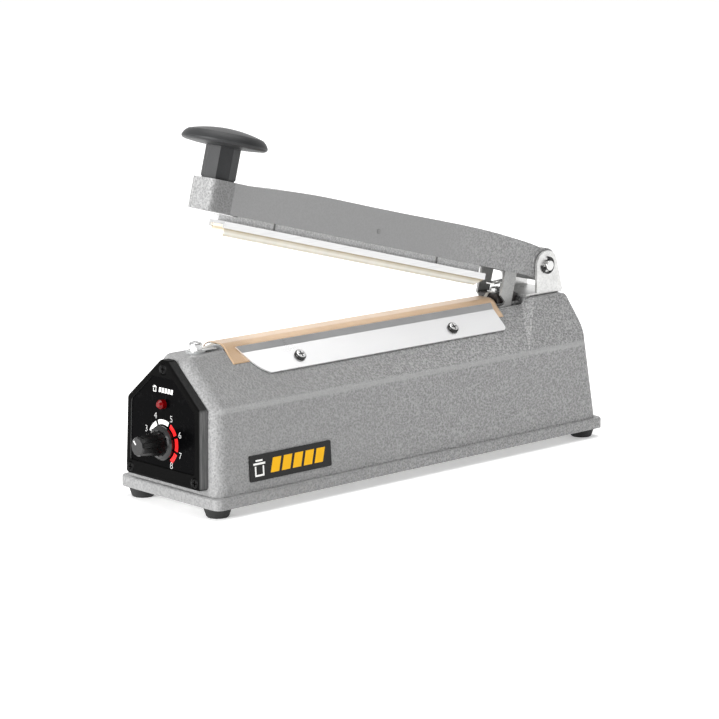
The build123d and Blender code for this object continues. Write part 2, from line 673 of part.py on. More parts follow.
def make_hinge_bracket():
    base = box(BRACKET_X0 - 9.5, BRACKET_X1 - 0.6, -EAR_HALF, EAR_HALF, SADDLE_Z, SADDLE_Z + EAR_T)
    ear = box(BRACKET_X0, PIN_X, -EAR_HALF, EAR_HALF, SADDLE_Z, PIN_Z)
    ear = ear + cyl_y(PIN_X, PIN_Z, -EAR_HALF, EAR_HALF, PIN_X - BRACKET_X0)
    r = PIN_X - BRACKET_X0
    tilt = math.radians(15.5)
    tangent = (PIN_X + r * math.cos(tilt), PIN_Z + r * math.sin(tilt))
    foot_x = tangent[0] + (tangent[1] - SADDLE_Z - 2.0) * math.tan(tilt)
    ear = ear + prism_xz([(PIN_X - 2, SADDLE_Z), (foot_x - 1.2, SADDLE_Z), (foot_x, SADDLE_Z + 2.0),
                          tangent, (PIN_X - 2, PIN_Z + 4)], -EAR_HALF, EAR_HALF)
    ear = ear - box(BRACKET_X0 - 5, BRACKET_X1 + 9, -EAR_HALF + EAR_T, EAR_HALF - EAR_T,
                    SADDLE_Z - 1, 130)
    ear = ear - cyl_y(PIN_X, PIN_Z, -20, 20, PIN_R + 0.05)
    bracket = base + ear
    low = [e for e in bracket.edges().filter_by(Axis.X)
           if abs(e.center().Z - SADDLE_Z) < 0.1 and abs(abs(e.center().Y) - EAR_HALF) < 0.1]
    bracket = try_fillet(bracket, low, 1.2)
    for x, y in BRACKET_SCREWS:
        bracket = bracket - cyl_z(x, y, 80, 90, 2.05)
        bracket = bracket - Pos(x, y, SADDLE_Z + EAR_T - 0.75) * Cone(2.05, 3.55, 1.5)
    return bracket


def make_bracket_screws():
    screw = Pos(0, 0, -0.75) * Cone(1.95, 3.45, 1.5) + Pos(0, 0, -4.5) * Cylinder(1.95, 7.4)
    screw = screw - Box(3.4, 0.7, 1.6) - Box(0.7, 3.4, 1.6)
    return [Pos(x, y, SADDLE_Z + EAR_T) * screw for x, y in BRACKET_SCREWS]


def make_hinge_pin():
    pin = cyl_y(PIN_X, PIN_Z, -18.8, 18.8, PIN_R)
    pin = try_fillet(pin, pin.edges().filter_by(GeomType.CIRCLE), 0.4)
    for side in (-1, 1):
        y0, y1 = sorted((side * 16.25, side * 17.05))
        pin = pin - (cyl_y(PIN_X, PIN_Z, y0, y1, 4) - cyl_y(PIN_X, PIN_Z, y0, y1, 2.8))
    return pin


def make_hinge_clips():
    """Open retaining rings: a thin bow with three prongs in the pin's groove."""
    clips = []
    for side in (-1, 1):
        y0, y1 = sorted((side * 16.3, side * 17.0))
        bow = cyl_y(PIN_X, PIN_Z, y0, y1, 5.5) - cyl_y(PIN_X, PIN_Z, y0, y1, 4.6)
        mouth = prism_xz([(PIN_X, PIN_Z), (PIN_X - 9, PIN_Z + 0.6), (PIN_X - 9, PIN_Z + 9),
                          (PIN_X + 0.2, PIN_Z + 9)], y0, y1)
        prong = box(PIN_X + 2.7, PIN_X + 4.9, y0, y1, PIN_Z - 1.0, PIN_Z + 1.0)
        prong = prong - cyl_y(PIN_X, PIN_Z, y0, y1, 2.86)
        bow = bow - mouth
        for angle in (-62, 40, 142):
            bow = bow + Pos(PIN_X, 0, PIN_Z) * Rot(0, angle, 0) * Pos(-PIN_X, 0, -PIN_Z) * prong
        clips.append(bow)
    return clips


def make_hinge_washers():
    washers = []
    for side in (-1, 1):
        y0, y1 = sorted((side * 13.65, side * 14.15))
        washers.append(cyl_y(PIN_X, PIN_Z, y0, y1, 6.4) - cyl_y(PIN_X, PIN_Z, y0, y1, PIN_R + 0.05))
    return washers


# ------------------------------------------------------------ arm
def arm_half(x):
    return ARM_HALF_FRONT + (x - ARM_X0) * (ARM_HALF_REAR - ARM_HALF_FRONT) / (PIN_X - ARM_X0)


def make_arm_casting():
    crown = Spline((44.0, 0, 112.6), (80.0, 0, 114.7), (130.0, 0, 115.6), (180.0, 0, 116.0),
                   (252.0, 0, 116.0), (270.0, 0, 115.0), (284.0, 0, 113.9), (291.5, 0, 112.6),
                   tangents=[(1, 0, 0), (0.97, 0, -0.24)])
    rest = Polyline((291.5, 0, 112.6), (PIN_X, 0, PIN_Z), (290.0, 0, ARM_BOTTOM - 0.9),
                    (284.0, 0, ARM_BOTTOM), (ARM_X0 + 0.6, 0, ARM_BOTTOM), (ARM_X0, 0, 112.6),
                    (44.0, 0, 112.6))
    body = Pos(0, -15, 0) * extrude(make_face(crown + rest), amount=30, dir=(0, 1, 0))
    plan = outline([(ARM_X0, -arm_half(ARM_X0)), (PIN_X, -arm_half(PIN_X)),
                    (PIN_X, arm_half(PIN_X)), (ARM_X0, arm_half(ARM_X0))],
                   [4.6, 0, 0, 4.6], 60)
    body = body & Pos(0, 0, 80) * plan
    top = [e for e in body.edges() if e.center().Z > 112.0 and e.center().X < 288
           and (e.center().X < ARM_X0 + 6 or abs(e.tangent_at(0.5).Y) < 0.95)]
    body = try_fillet(body, top, 2.4)
    body = body + cyl_y(PIN_X, PIN_Z, -HUB_HALF, HUB_HALF, HUB_R)
    channel = outline([(44.0, -arm_half(44) + 2.4), (280.0, -arm_half(280) + 1.3),
                       (280.0, arm_half(280) - 1.3), (44.0, arm_half(44) - 2.4)],
                      [2.0, 2.0, 2.0, 2.0], 110.5 - 90)
    body = body - Pos(0, 0, 90) * channel
    body = body + cyl_z(LEVER_SCREW_X, 0, 107.6, 111.5, 4.2)
    body = body - cyl_z(LEVER_SCREW_X, 0, 100, 113.2, 2.0)
    body = body - cyl_y(PIN_X, PIN_Z, -20, 20, PIN_R + 0.05)
    body = body - cyl_y(CROSS_PIN_X, CROSS_PIN_Z, -20, 20, 1.5)
    body = body - cyl_z(HANDLE_X, 0, 90, 100.4, 5.6)
    body = body - cyl_z(HANDLE_X, 0, 95, 120, 3.1)
    return body


LEVER_SCREW_X = 270.2


def make_handle_knob():
    neck = extrude(RegularPolygon(radius=10.15, side_count=8, rotation=-4.4), amount=18.6)
    foot = extrude(RegularPolygon(radius=9.5, side_count=8, rotation=-4.4), amount=0.9)
    neck = Pos(0, 0, 0.9) * neck + foot
    neck = Pos(HANDLE_X, 0, 112.6) * neck
    rim = ThreePointArc((24.95, 0, 134.6), (23.06, 0, 137.7), (19.0, 0, 139.9))
    skirt = Polyline((19.0, 0, 139.9), (19.0, 0, 150.0), (0, 0, 150.0), (0, 0, 131.4),
                     (11.5, 0, 131.5), (17.5, 0, 131.9), (22.8, 0, 132.5), (24.1, 0, 133.0),
                     (24.8, 0, 133.7), (24.95, 0, 134.6))
    cap = revolve(make_face(rim + skirt), axis=Axis.Z) & Pos(0, 0, 72.3) * Sphere(70.0)
    knob = neck + Pos(HANDLE_X, 0, 0) * cap
    return knob - cyl_z(HANDLE_X, 0, 110, 125, 3.0)


def make_handle_screw():
    head = cyl_z(HANDLE_X, 0, 96.2, 100.4, 5.0) - cyl_z(HANDLE_X, 0, 95, 98.6, 2.6)
    return head + cyl_z(HANDLE_X, 0, 100.4, 124.0, 2.95)


LEG_X0, LEG_X1 = 265.0, 275.4
LEG_Y0, LEG_Y1 = 9.4, 11.0
FOOT_PLATE = (254.4, 281.0, 60.0, 61.6)


def make_arm_lever():
    x0, x1, z0, z1 = FOOT_PLATE
    lever = box(LEG_X0, LEG_X1, -LEG_Y1, LEG_Y1, 106.0, 107.6)
    for side in (-1, 1):
        y0, y1 = sorted((side * LEG_Y0, side * LEG_Y1))
        leg = box(LEG_X0, LEG_X1, y0, y1, z0, 107.6)
        notch = prism_xz([(LEG_X0 - 1, 71.0), (LEG_X0 + 4.2, 73.6), (LEG_X0 + 4.6, 75.4),
                          (LEG_X0 - 1, 79.4)], y0 - 1, y1 + 1)
        lever = lever + (leg - notch)
    lever = lever + box(x0, x1, -LEG_Y1, LEG_Y1, z0, z1)
    return lever - cyl_z(LEVER_SCREW_X, 0, 100, 110, 2.05)


def make_lever_screw():
    screw = Rot(180, 0, 0) * pan_screw(3.5, 2.2, 1.95, 6.8)
    return Pos(LEVER_SCREW_X, 0, 106.0) * screw


def make_cross_pin():
    half = arm_half(CROSS_PIN_X) + 0.25
    return cyl_y(CROSS_PIN_X, CROSS_PIN_Z, -half, half, 1.49)


# ------------------------------------------------------------ pressure bar
RAIL_X0, RAIL_X1 = 34.0, 252.5
RAIL_TOP, RAIL_LIP, RAIL_HALF = 90.3, 86.4, 6.7
WEB_HALF = 2.4


def make_pressure_rail():
    rail = box(RAIL_X0, RAIL_X1, -RAIL_HALF, RAIL_HALF, RAIL_LIP, RAIL_TOP)
    rail = rail - box(RAIL_X0 - 1, RAIL_X1 + 1, -5.4, 5.4, RAIL_LIP - 1, 88.6)
    web = box(47.0, RAIL_X1 - 2.0, -WEB_HALF, WEB_HALF, RAIL_TOP, 98.0)
    web = web + box(RAIL_X0 - 1.6, 47.0, -WEB_HALF, WEB_HALF, RAIL_TOP, ARM_BOTTOM - 0.5)
    lug = box(CROSS_PIN_X - 9, CROSS_PIN_X + 9, -WEB_HALF, WEB_HALF, 98.0, 106.0)
    rail = rail + web + lug
    for x in (76.0, 212.0):
        rail = rail - box(x - 0.8, x + 0.8, -5, 5, RAIL_TOP + 0.4, 95.0)
    return rail - cyl_y(CROSS_PIN_X, CROSS_PIN_Z, -20, 20, 1.56)


def make_silicone_strip():
    side = [(RAIL_X0 + 1.6, SILICONE_Z), (RAIL_X1 - 7.2, SILICONE_Z), (RAIL_X1, 86.2),
            (RAIL_X1, 88.5), (RAIL_X0 + 1.6, 88.5)]
    return prism_xz(side, -5.3, 5.3)


# ------------------------------------------------------------ assembly
def closing_angle():
    """Arm travel from rest until the level strip stands CLOSED_GAP over the cover."""
    radius = PIN_X - CROSS_PIN_X
    drop = PTFE_TOP + CLOSED_GAP + (CROSS_PIN_Z - SILICONE_Z) - CROSS_PIN_Z
    return OPEN_ANGLE - math.degrees(math.asin(drop / radius))


def knob_body(shape):
    return FRONT * (Pos(0, KNOB_V, 0) * shape)


def build_parts():
    parts = {
        "base_casting": [make_base_casting()],
        "bottom_plate": [make_bottom_plate()],
        "rubber_feet": [make_foot(x, y) for x, y in FOOT_XY],
        "foot_screws": [make_foot_screw(x, y) for x, y in FOOT_XY],
        "front_panel": [make_front_panel()],
        "panel_label": [make_panel_label()],
        "panel_screws": make_panel_screws(),
        "potentiometer_body": [make_potentiometer_body()],
        "potentiometer_nut": [make_potentiometer_nut()],
        "potentiometer_shaft": [FRONT * make_potentiometer_shaft()],
        "timer_knob": [knob_body(make_timer_knob())],
        "lamp_lens": [make_lamp_lens()],
        "lamp_holder": [make_lamp_holder()],
        "timer_board": [make_timer_board()],
        "board_relay": [make_board_relay()],
        "board_capacitors": make_board_capacitors(),
        "transformer_core": [make_transformer_core()],
        "transformer_coil": [make_transformer_coil()],
        "transformer_frame": [make_transformer_frame()],
        "transformer_screws": make_plate_screws(TRANSFORMER_SCREW_X),
        "switch_bridge": [make_switch_bridge()],
        "switch_bridge_screws": make_plate_screws(BRIDGE_SCREW_X),
        "microswitch_body": [make_microswitch_body()],
        "microswitch_plunger": [make_microswitch_plunger()],
        "microswitch_screws": make_microswitch_screws(),
        "return_spring": [make_return_spring()],
        "sealing_bar": [make_sealing_bar()],
        "insulation_strip": [make_insulation_strip()],
        "heating_element": [make_heating_element()],
        "ptfe_cover": [make_ptfe_cover()],
        "clamp_strip_near": [make_clamp_strip()],
        "clamp_strip_far": [mirrored(make_clamp_strip())],
        "clamp_screws": make_clamp_screws(),
        "front_terminal_bush": [make_front_terminal_bush()],
        "front_terminal_lug": [make_front_terminal_lug()],
        "front_terminal_nut": [make_front_terminal_nut()],
        "front_terminal_screw": [make_front_terminal_screw()],
        "rear_terminal_block": [make_rear_terminal_block()],
        "rear_terminal_strap": [make_rear_terminal_strap()],
        "rear_terminal_screw": [make_rear_terminal_screw()],
        "side_badge": [make_side_badge()],
        "cord_grommet": [make_cord_grommet()],
        "hinge_bracket": [make_hinge_bracket()],
        "bracket_screws": make_bracket_screws(),
        "hinge_pin": [make_hinge_pin()],
        "hinge_clips": make_hinge_clips(),
        "hinge_washers": make_hinge_washers(),
    }
    arm = {
        "arm_casting": [make_arm_casting()],
        "handle_knob": [make_handle_knob()],
        "handle_screw": [make_handle_screw()],
        "arm_lever": [make_arm_lever()],
        "lever_screw": [make_lever_screw()],
        "cross_pin": [make_cross_pin()],
        "pressure_rail": [make_pressure_rail()],
        "silicone_strip": [make_silicone_strip()],
    }
    for name, solids in arm.items():
        parts[name] = [ARM * s for s in solids]
    return parts


def main():
    parts = build_parts()
    knob_front = parts["timer_knob"][0].bounding_box().min.X
    shift = Pos(-(knob_front + BASE_L) / 2, 0, FOOT_H)
    os.makedirs("parts", exist_ok=True)
    for name, solids in parts.items():
        placed = []
        for shape in solids:
            for solid in (shift * shape).solids():
                placed.append(solid)
        body = placed[0] if len(placed) == 1 else Compound(children=placed)
        body.label = name
        export_step(body, os.path.join("parts", name + ".step"))
    print("nodes", len(parts), "arm travel", round(closing_angle(), 3),
          "shift x", round(-(knob_front + BASE_L) / 2, 4))
    pin = ARM * Vertex(CROSS_PIN_X, 0, CROSS_PIN_Z)
    print("hinge", PIN_X - (knob_front + BASE_L) / 2, PIN_Z + FOOT_H, "cross pin",
          pin.X - (knob_front + BASE_L) / 2, pin.Z + FOOT_H)


main()
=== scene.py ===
import math

import bmesh
import bpy
from mathutils import Matrix, Vector


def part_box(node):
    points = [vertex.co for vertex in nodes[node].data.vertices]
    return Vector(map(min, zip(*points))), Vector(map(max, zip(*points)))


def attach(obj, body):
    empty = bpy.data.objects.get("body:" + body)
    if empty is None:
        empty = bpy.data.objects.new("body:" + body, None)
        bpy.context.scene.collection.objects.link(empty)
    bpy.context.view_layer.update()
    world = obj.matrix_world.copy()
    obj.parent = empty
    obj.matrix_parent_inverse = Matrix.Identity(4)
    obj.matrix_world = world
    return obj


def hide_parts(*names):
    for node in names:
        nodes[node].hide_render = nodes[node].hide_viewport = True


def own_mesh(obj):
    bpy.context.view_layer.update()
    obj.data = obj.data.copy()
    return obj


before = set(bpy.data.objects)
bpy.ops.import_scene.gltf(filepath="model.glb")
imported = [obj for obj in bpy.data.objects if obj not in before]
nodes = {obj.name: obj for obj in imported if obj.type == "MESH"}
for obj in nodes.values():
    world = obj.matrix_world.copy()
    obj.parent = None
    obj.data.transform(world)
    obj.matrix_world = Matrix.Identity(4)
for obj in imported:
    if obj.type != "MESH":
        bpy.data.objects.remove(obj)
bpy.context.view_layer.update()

MM = 0.001

# The casting, in millimetres from the flange's front edge, its middle and its underside.
FLANGE_HALF, FLANGE_H = 44.5, 6.6
WALL_INSET = 2.25
RIDGE_HALF, RIDGE_UP = 38.62, 55.3       # the two shoulder edges
BED_HALF, BED_UP = 9.7, 81.7             # the flat top
FRONT_LEAN = math.radians(1.6)
SIDE_LEAN = math.radians(4.26)
SHOULDER = math.radians(42.4)
PIN_BACK, PIN_UP = 296.2, 103.0          # the hinge
OPEN_ANGLE = math.radians(14.5)

# Features of the arm, in millimetres from the hinge, along the arm and square to it.
FLANK_START = -262.7                     # the smooth flank's sharp front end
FLANK_FADE = (-106.0, -30.0)
WEB_FOOT = -12.7                         # where the pressure bar's web meets its lips
SILICONE_LOW, SILICONE_HIGH = -21.0, -16.6

BASE_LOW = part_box("base_casting")[0]
FRONT_X = BASE_LOW[0]
FLANGE_Z = BASE_LOW[2]
RIDGE_Y = RIDGE_HALF * MM
RIDGE_Z = FLANGE_Z + RIDGE_UP * MM
PIN = (FRONT_X + PIN_BACK * MM, 0.0, FLANGE_Z + PIN_UP * MM)
ALONG_ARM = (math.cos(OPEN_ANGLE), 0.0, -math.sin(OPEN_ANGLE))
ABOVE_ARM = (math.sin(OPEN_ANGLE), 0.0, math.cos(OPEN_ANGLE))
FRONT_POINT = (FRONT_X, 0.0, 0.0)
RIDGE_POINT = (0.0, 0.0, RIDGE_Z)
X_AXIS, Z_AXIS = (1.0, 0.0, 0.0), (0.0, 0.0, 1.0)


# ---------------------------------------------------------------- node graphs
class Graph:
    """A material and short ways to add and link its nodes."""

    def __init__(self, name):
        self.mat = bpy.data.materials.new(name)
        self.mat.use_nodes = True
        self.tree = self.mat.node_tree
        self.shader = self.tree.nodes["Principled BSDF"]
        coords = self.tree.nodes.new("ShaderNodeTexCoord")
        self.coords = coords.outputs["Object"]

    def add(self, kind, **inputs):
        made = self.tree.nodes.new(kind)
        for key, value in inputs.items():
            self.feed(made.inputs[key.replace("_", " ")], value)
        return made

    def feed(self, socket, value):
        if isinstance(value, bpy.types.NodeSocket):
            self.tree.links.new(value, socket)
        else:
            socket.default_value = value

    def scaled(self, scale):
        made = self.tree.nodes.new("ShaderNodeMapping")
        made.inputs["Scale"].default_value = scale
        self.tree.links.new(self.coords, made.inputs["Vector"])
        return made.outputs["Vector"]

    def noise(self, scale, detail=2.0, rough=0.5, vector=None):
        made = self.add("ShaderNodeTexNoise", Scale=scale, Detail=detail, Roughness=rough)
        self.tree.links.new(vector or self.coords, made.inputs["Vector"])
        return made.outputs["Fac"]

    def cells(self, scale, smooth, vector=None):
        made = self.tree.nodes.new("ShaderNodeTexVoronoi")
        made.feature = "SMOOTH_F1"
        made.inputs["Scale"].default_value = scale
        made.inputs["Smoothness"].default_value = smooth
        self.tree.links.new(vector or self.coords, made.inputs["Vector"])
        return made.outputs["Distance"]

    def math(self, kind, a, b=0.0, c=None, clamp=False):
        made = self.tree.nodes.new("ShaderNodeMath")
        made.operation = kind
        made.use_clamp = clamp
        self.feed(made.inputs[0], a)
        self.feed(made.inputs[1], b)
        if c is not None:
            self.feed(made.inputs[2], c)
        return made.outputs[0]

    def ramp(self, fac, stops):
        made = self.tree.nodes.new("ShaderNodeValToRGB")
        self.tree.links.new(fac, made.inputs["Fac"])
        elements = made.color_ramp.elements
        while len(elements) < len(stops):
            elements.new(0.5)
        for element, (at, colour) in zip(elements, stops):
            element.position = at
            if isinstance(colour, (int, float)):
                colour = (colour, colour, colour)
            element.color = (*colour, 1.0)
        return made.outputs["Color"]

    def mix(self, fac, a, b):
        """a where fac is 0, b where it is 1."""
        made = self.tree.nodes.new("ShaderNodeMix")
        made.data_type = "RGBA"
        self.feed(made.inputs[0], fac)
        self.feed(made.inputs[6], a if not isinstance(a, tuple) else (*a, 1.0))
        self.feed(made.inputs[7], b if not isinstance(b, tuple) else (*b, 1.0))
        return made.outputs[2]

    def axis(self, name):
        made = self.tree.nodes.new("ShaderNodeSeparateXYZ")
        self.tree.links.new(self.coords, made.inputs[0])
        return made.outputs[name]

    def along(self, origin, direction, start, end):
        """0 at start and 1 at end, both in millimetres from origin along direction."""
        offset = self.tree.nodes.new("ShaderNodeVectorMath")
        offset.operation = "SUBTRACT"
        self.tree.links.new(self.coords, offset.inputs[0])
        offset.inputs[1].default_value = origin
        dot = self.tree.nodes.new("ShaderNodeVectorMath")
        dot.operation = "DOT_PRODUCT"
        self.tree.links.new(offset.outputs[0], dot.inputs[0])
        dot.inputs[1].default_value = direction
        made = self.tree.nodes.new("ShaderNodeMapRange")
        made.interpolation_type = "SMOOTHSTEP"
        made.inputs["From Min"].default_value = start * MM
        made.inputs["From Max"].default_value = end * MM
        self.tree.links.new(dot.outputs["Value"], made.inputs["Value"])
        return made.outputs["Result"]

    def ridge(self):
        """1 along the casting's two shoulder edges: the mask of their painted highlight."""
        across = self.math("SUBTRACT", self.math("ABSOLUTE", self.axis("Y")), RIDGE_Y)
        up = self.math("SUBTRACT", self.axis("Z"), RIDGE_Z)
        squares = self.math("ADD", self.math("MULTIPLY", across, across),
                            self.math("MULTIPLY", up, up))
        away = self.math("MULTIPLY", self.math("SQRT", squares), 100.0)
        return self.ramp(away, [(0.08, 1.0), (0.24, 0.0)])     # from 0.8 to 2.4 mm away

    def normal(self, axis):
        """How far the surface leans towards an axis, from -1 to 1."""
        geometry = self.tree.nodes.new("ShaderNodeNewGeometry")
        parts = self.tree.nodes.new("ShaderNodeSeparateXYZ")
        self.tree.links.new(geometry.outputs["Normal"], parts.inputs[0])
        return parts.outputs[axis]

    def facing(self, axis):
        """1 on surfaces square to an axis, on either side, 0 on those along it."""
        return self.math("ABSOLUTE", self.normal(axis))

    def one_minus(self, value):
        return self.math("SUBTRACT", 1.0, value)

    def bump(self, height, strength, distance, normal=None):
        made = self.add("ShaderNodeBump", Height=height)
        made.inputs["Strength"].default_value = strength
        made.inputs["Distance"].default_value = distance
        if normal is not None:
            self.tree.links.new(normal, made.inputs["Normal"])
        return made.outputs["Normal"]

    def set(self, **values):
        for key, value in values.items():
            self.feed(self.shader.inputs[key.replace("_", " ")], value)


def grey(v):
    return (v, v, v)


# ---------------------------------------------------------------- materials
def painted_body(g, level, shade, paint):
    """The casting's paint: even at the front end, coarser to the rear and on the shoulders,
    with a painted highlight along the shoulder edges."""
    coarse = g.ramp(shade, [(0.36, grey(level * 0.52)), (0.56, grey(level * 0.98)),
                            (0.76, grey(level * 1.60))])
    upper = g.math("MULTIPLY_ADD", g.along(RIDGE_POINT, Z_AXIS, -2.0, 3.0), 0.75, 0.25)
    rearward = g.along(FRONT_POINT, X_AXIS, 40.0, 230.0)
    paint = g.mix(g.math("MULTIPLY_ADD", rearward, -0.36, 0.36), paint, grey(level))
    paint = g.mix(g.math("MULTIPLY", upper, rearward), paint, coarse)
    # Painted highlight: paler paint along the two shoulder edges, where the rounded crease would
    # catch the light.
    return g.mix(g.math("MULTIPLY", g.ridge(), 0.72), paint, grey(level * 1.55))


def painted_arm(g, level, paint, height):
    """The arm's paint: nearly smooth over the long middle of both sides, with painted shade on the
    nose's sides.
    """
    begin = g.along(PIN, ALONG_ARM, FLANK_START - 0.5, FLANK_START + 0.5)
    smooth = g.math("MULTIPLY", begin, g.one_minus(g.along(PIN, ALONG_ARM, *FLANK_FADE)))
    smooth = g.math("MULTIPLY", smooth, g.ramp(g.facing("Y"), [(0.75, 0.0), (0.97, 1.0)]))
    paint = g.mix(g.math("MULTIPLY", smooth, 0.88), paint, grey(level))
    # Painted shade: ahead of the smooth flank, faces turned along Y are painted darker.
    nose_shade = g.math("MULTIPLY", g.one_minus(begin), g.ramp(g.facing("Y"), [(0.6, 0.0), (0.95, 0.55)]))
    paint = g.mix(nose_shade, paint, grey(level * 0.45))
    height = g.math("MULTIPLY", height, g.math("MULTIPLY_ADD", smooth, -0.85, 1.0))
    return paint, height


def hammertone(name, level, arm=False):
    """Metallic hammer-finish paint: a fine mottled relief, each dimple about a millimetre."""
    g = Graph(name)
    warp = g.add("ShaderNodeTexNoise", Scale=520.0, Detail=2.0)
    g.tree.links.new(g.coords, warp.inputs["Vector"])
    offset = g.tree.nodes.new("ShaderNodeVectorMath")
    offset.operation = "MULTIPLY_ADD"
    g.tree.links.new(warp.outputs["Color"], offset.inputs[0])
    offset.inputs[1].default_value = (0.0012, 0.0012, 0.0012)
    g.tree.links.new(g.coords, offset.inputs[2])
    pools = g.cells(760.0, 0.55, offset.outputs[0])
    flakes = g.noise(1150.0, 3.0, 0.6)
    drift = g.noise(22.0, 3.0, 0.55)
    height = g.math("MULTIPLY_ADD", flakes, 0.9, pools)
    shade = g.math("MULTIPLY_ADD", flakes, 0.8, g.math("MULTIPLY", pools, 0.45))
    paint = g.ramp(shade, [(0.36, grey(level * 0.66)), (0.56, grey(level)),
                           (0.76, grey(level * 1.42))])
    paint = g.mix(g.ramp(drift, [(0.35, 0.0), (0.7, 0.10)]), paint, grey(level * 0.80))
    if arm:
        paint, height = painted_arm(g, level, paint, height)
    else:
        paint = painted_body(g, level, shade, paint)
    g.set(Base_Color=paint, Metallic=0.12, Specular_IOR_Level=0.4,
          Roughness=g.math("MULTIPLY_ADD", flakes, 0.18, 0.40, clamp=True),
          Normal=g.bump(height, 0.85, 0.00034))
    return g.mat


def zinc(name, level=0.66, rough=0.34):
    """Plated sheet steel: faint spangle, fine grain and rubbed patches."""
    g = Graph(name)
    tint = (1.0, 1.0, 0.985)
    grain = g.noise(900.0, 4.0, 0.6)
    spangle = g.cells(240.0, 0.2)
    rubbed_and_sheen = g.noise(70.0, 4.0, 0.6)
    low = tuple(level * 0.80 * t for t in tint)
    high = tuple(min(1.0, level * 1.18) * t for t in tint)
    colour = g.ramp(g.math("MULTIPLY_ADD", grain, 0.45, g.math("MULTIPLY", rubbed_and_sheen, 0.55)),
                    [(0.36, low), (0.64, high)])
    height = g.math("MULTIPLY_ADD", spangle, 0.3, grain)
    g.set(Base_Color=colour, Metallic=0.9,
          Roughness=g.math("MULTIPLY_ADD", rubbed_and_sheen, 0.22, rough - 0.08, clamp=True),
          Normal=g.bump(height, 0.16, 0.00006))
    return g.mat


def brushed(name, colour, rough, along, strength=0.12, metallic=1.0, waves=0.0, streak=0.84,
            vary=0.14):
    """Rolled or brushed metal; along is the direction of the grain."""
    g = Graph(name)
    scale = [2400.0, 2400.0, 2400.0]
    scale["XYZ".index(along)] = 30.0
    hair = g.noise(1.0, 5.0, 0.65, g.scaled(scale))
    smear = g.noise(45.0, 3.0, 0.5)
    dull = tuple(c * streak for c in colour)
    g.set(Base_Color=g.mix(g.ramp(hair, [(0.3, 0.0), (0.75, 0.55)]), colour, dull),
          Metallic=metallic,
          Roughness=g.math("ADD", g.math("MULTIPLY_ADD", hair, vary, rough - vary * 0.64),
                           g.math("MULTIPLY", smear, 0.08), clamp=True))
    normal = g.bump(hair, strength, 0.00004)
    if waves:
        normal = g.bump(g.noise(38.0, 1.5, 0.4, g.scaled((1.0, 2.2, 2.2))), waves, 0.0011, normal)
    g.set(Normal=normal)
    return g.mat


def extrusion(name):
    """Pressure bar: bright anodised lips below, a dull grainy web above them."""
    g = Graph(name)
    grain = g.noise(1100.0, 4.0, 0.65)
    hair = g.noise(1.0, 4.0, 0.6, g.scaled((30.0, 2400.0, 2400.0)))
    web = g.along(PIN, ABOVE_ARM, WEB_FOOT - 0.05, WEB_FOOT + 0.1)
    bright = g.ramp(hair, [(0.3, grey(0.70)), (0.7, grey(0.86))])
    dull = g.ramp(grain, [(0.34, grey(0.48)), (0.66, grey(0.80))])
    sawn = g.ramp(g.facing("X"), [(0.90, 0.0), (0.97, 1.0)])
    lips = g.mix(sawn, bright, grey(0.50))
    g.set(Base_Color=g.mix(web, lips, dull), Metallic=0.45,
          Roughness=g.math("MULTIPLY_ADD", web, 0.16, 0.34),
          Normal=g.bump(g.math("MULTIPLY", grain, web), 0.5, 0.0002))
    return g.mat


def plastic(name, colour, rough, grain=1500.0, strength=0.12, depth=0.00005, coat=0.0, wear=0.25,
            shine=0.5):
    """Moulded plastic: spark-eroded grain, faint scuffs and handling marks."""
    g = Graph(name)
    fine = g.noise(grain, 3.0, 0.6)
    scuff = g.noise(1.0, 5.0, 0.7, g.scaled((90.0, 420.0, 90.0)))
    pale = tuple(min(1.0, c * 1.5 + 0.012) for c in colour)
    dark = tuple(c * 0.82 for c in colour)
    base = g.ramp(fine, [(0.3, dark), (0.7, colour)])
    g.set(Base_Color=g.mix(g.ramp(scuff, [(0.52, 0.0), (0.78, wear)]), base, pale),
          Roughness=g.math("MULTIPLY_ADD", scuff, 0.18, rough - 0.09, clamp=True),
          Specular_IOR_Level=shine, Normal=g.bump(fine, strength, depth))
    if coat:
        g.set(Coat_Weight=coat, Coat_Roughness=0.08)
    return g.mat


def panel_plastic(name):
    """Moulded panel: a dark matt front, and paler sides, a painted highlight in vertical streaks.
    """
    g = Graph(name)
    fine = g.noise(1500.0, 3.0, 0.6)
    scuff = g.noise(1.0, 5.0, 0.7, g.scaled((900.0, 900.0, 60.0)))
    front = g.ramp(fine, [(0.3, grey(0.0020)), (0.7, grey(0.0036))])
    rubbed_and_sheen = g.ramp(scuff, [(0.3, grey(0.070)), (0.7, grey(0.150))])
    # Painted highlight: faces turned along Y, the panel's sides, are painted paler than its front.
    g.set(Base_Color=g.mix(g.ramp(g.facing("Y"), [(0.55, 0.0), (0.98, 1.0)]), front, rubbed_and_sheen),
          Roughness=g.math("MULTIPLY_ADD", scuff, 0.18, 0.42, clamp=True),
          Specular_IOR_Level=0.025, Normal=g.bump(fine, 0.16, 0.00006))
    return g.mat


def rubber(name, colour, rough=0.72):
    """Matt black rubber with pale dust."""
    g = Graph(name)
    fine = g.noise(1100.0, 4.0, 0.6)
    dust = g.noise(160.0, 4.0, 0.6)
    pale = tuple(c * 1.9 + 0.02 for c in colour)
    g.set(Base_Color=g.mix(g.ramp(dust, [(0.5, 0.0), (0.85, 0.4)]), colour, pale),
          Roughness=g.math("MULTIPLY_ADD", fine, 0.2, rough - 0.1, clamp=True),
          Normal=g.bump(fine, 0.2, 0.00008))
    return g.mat


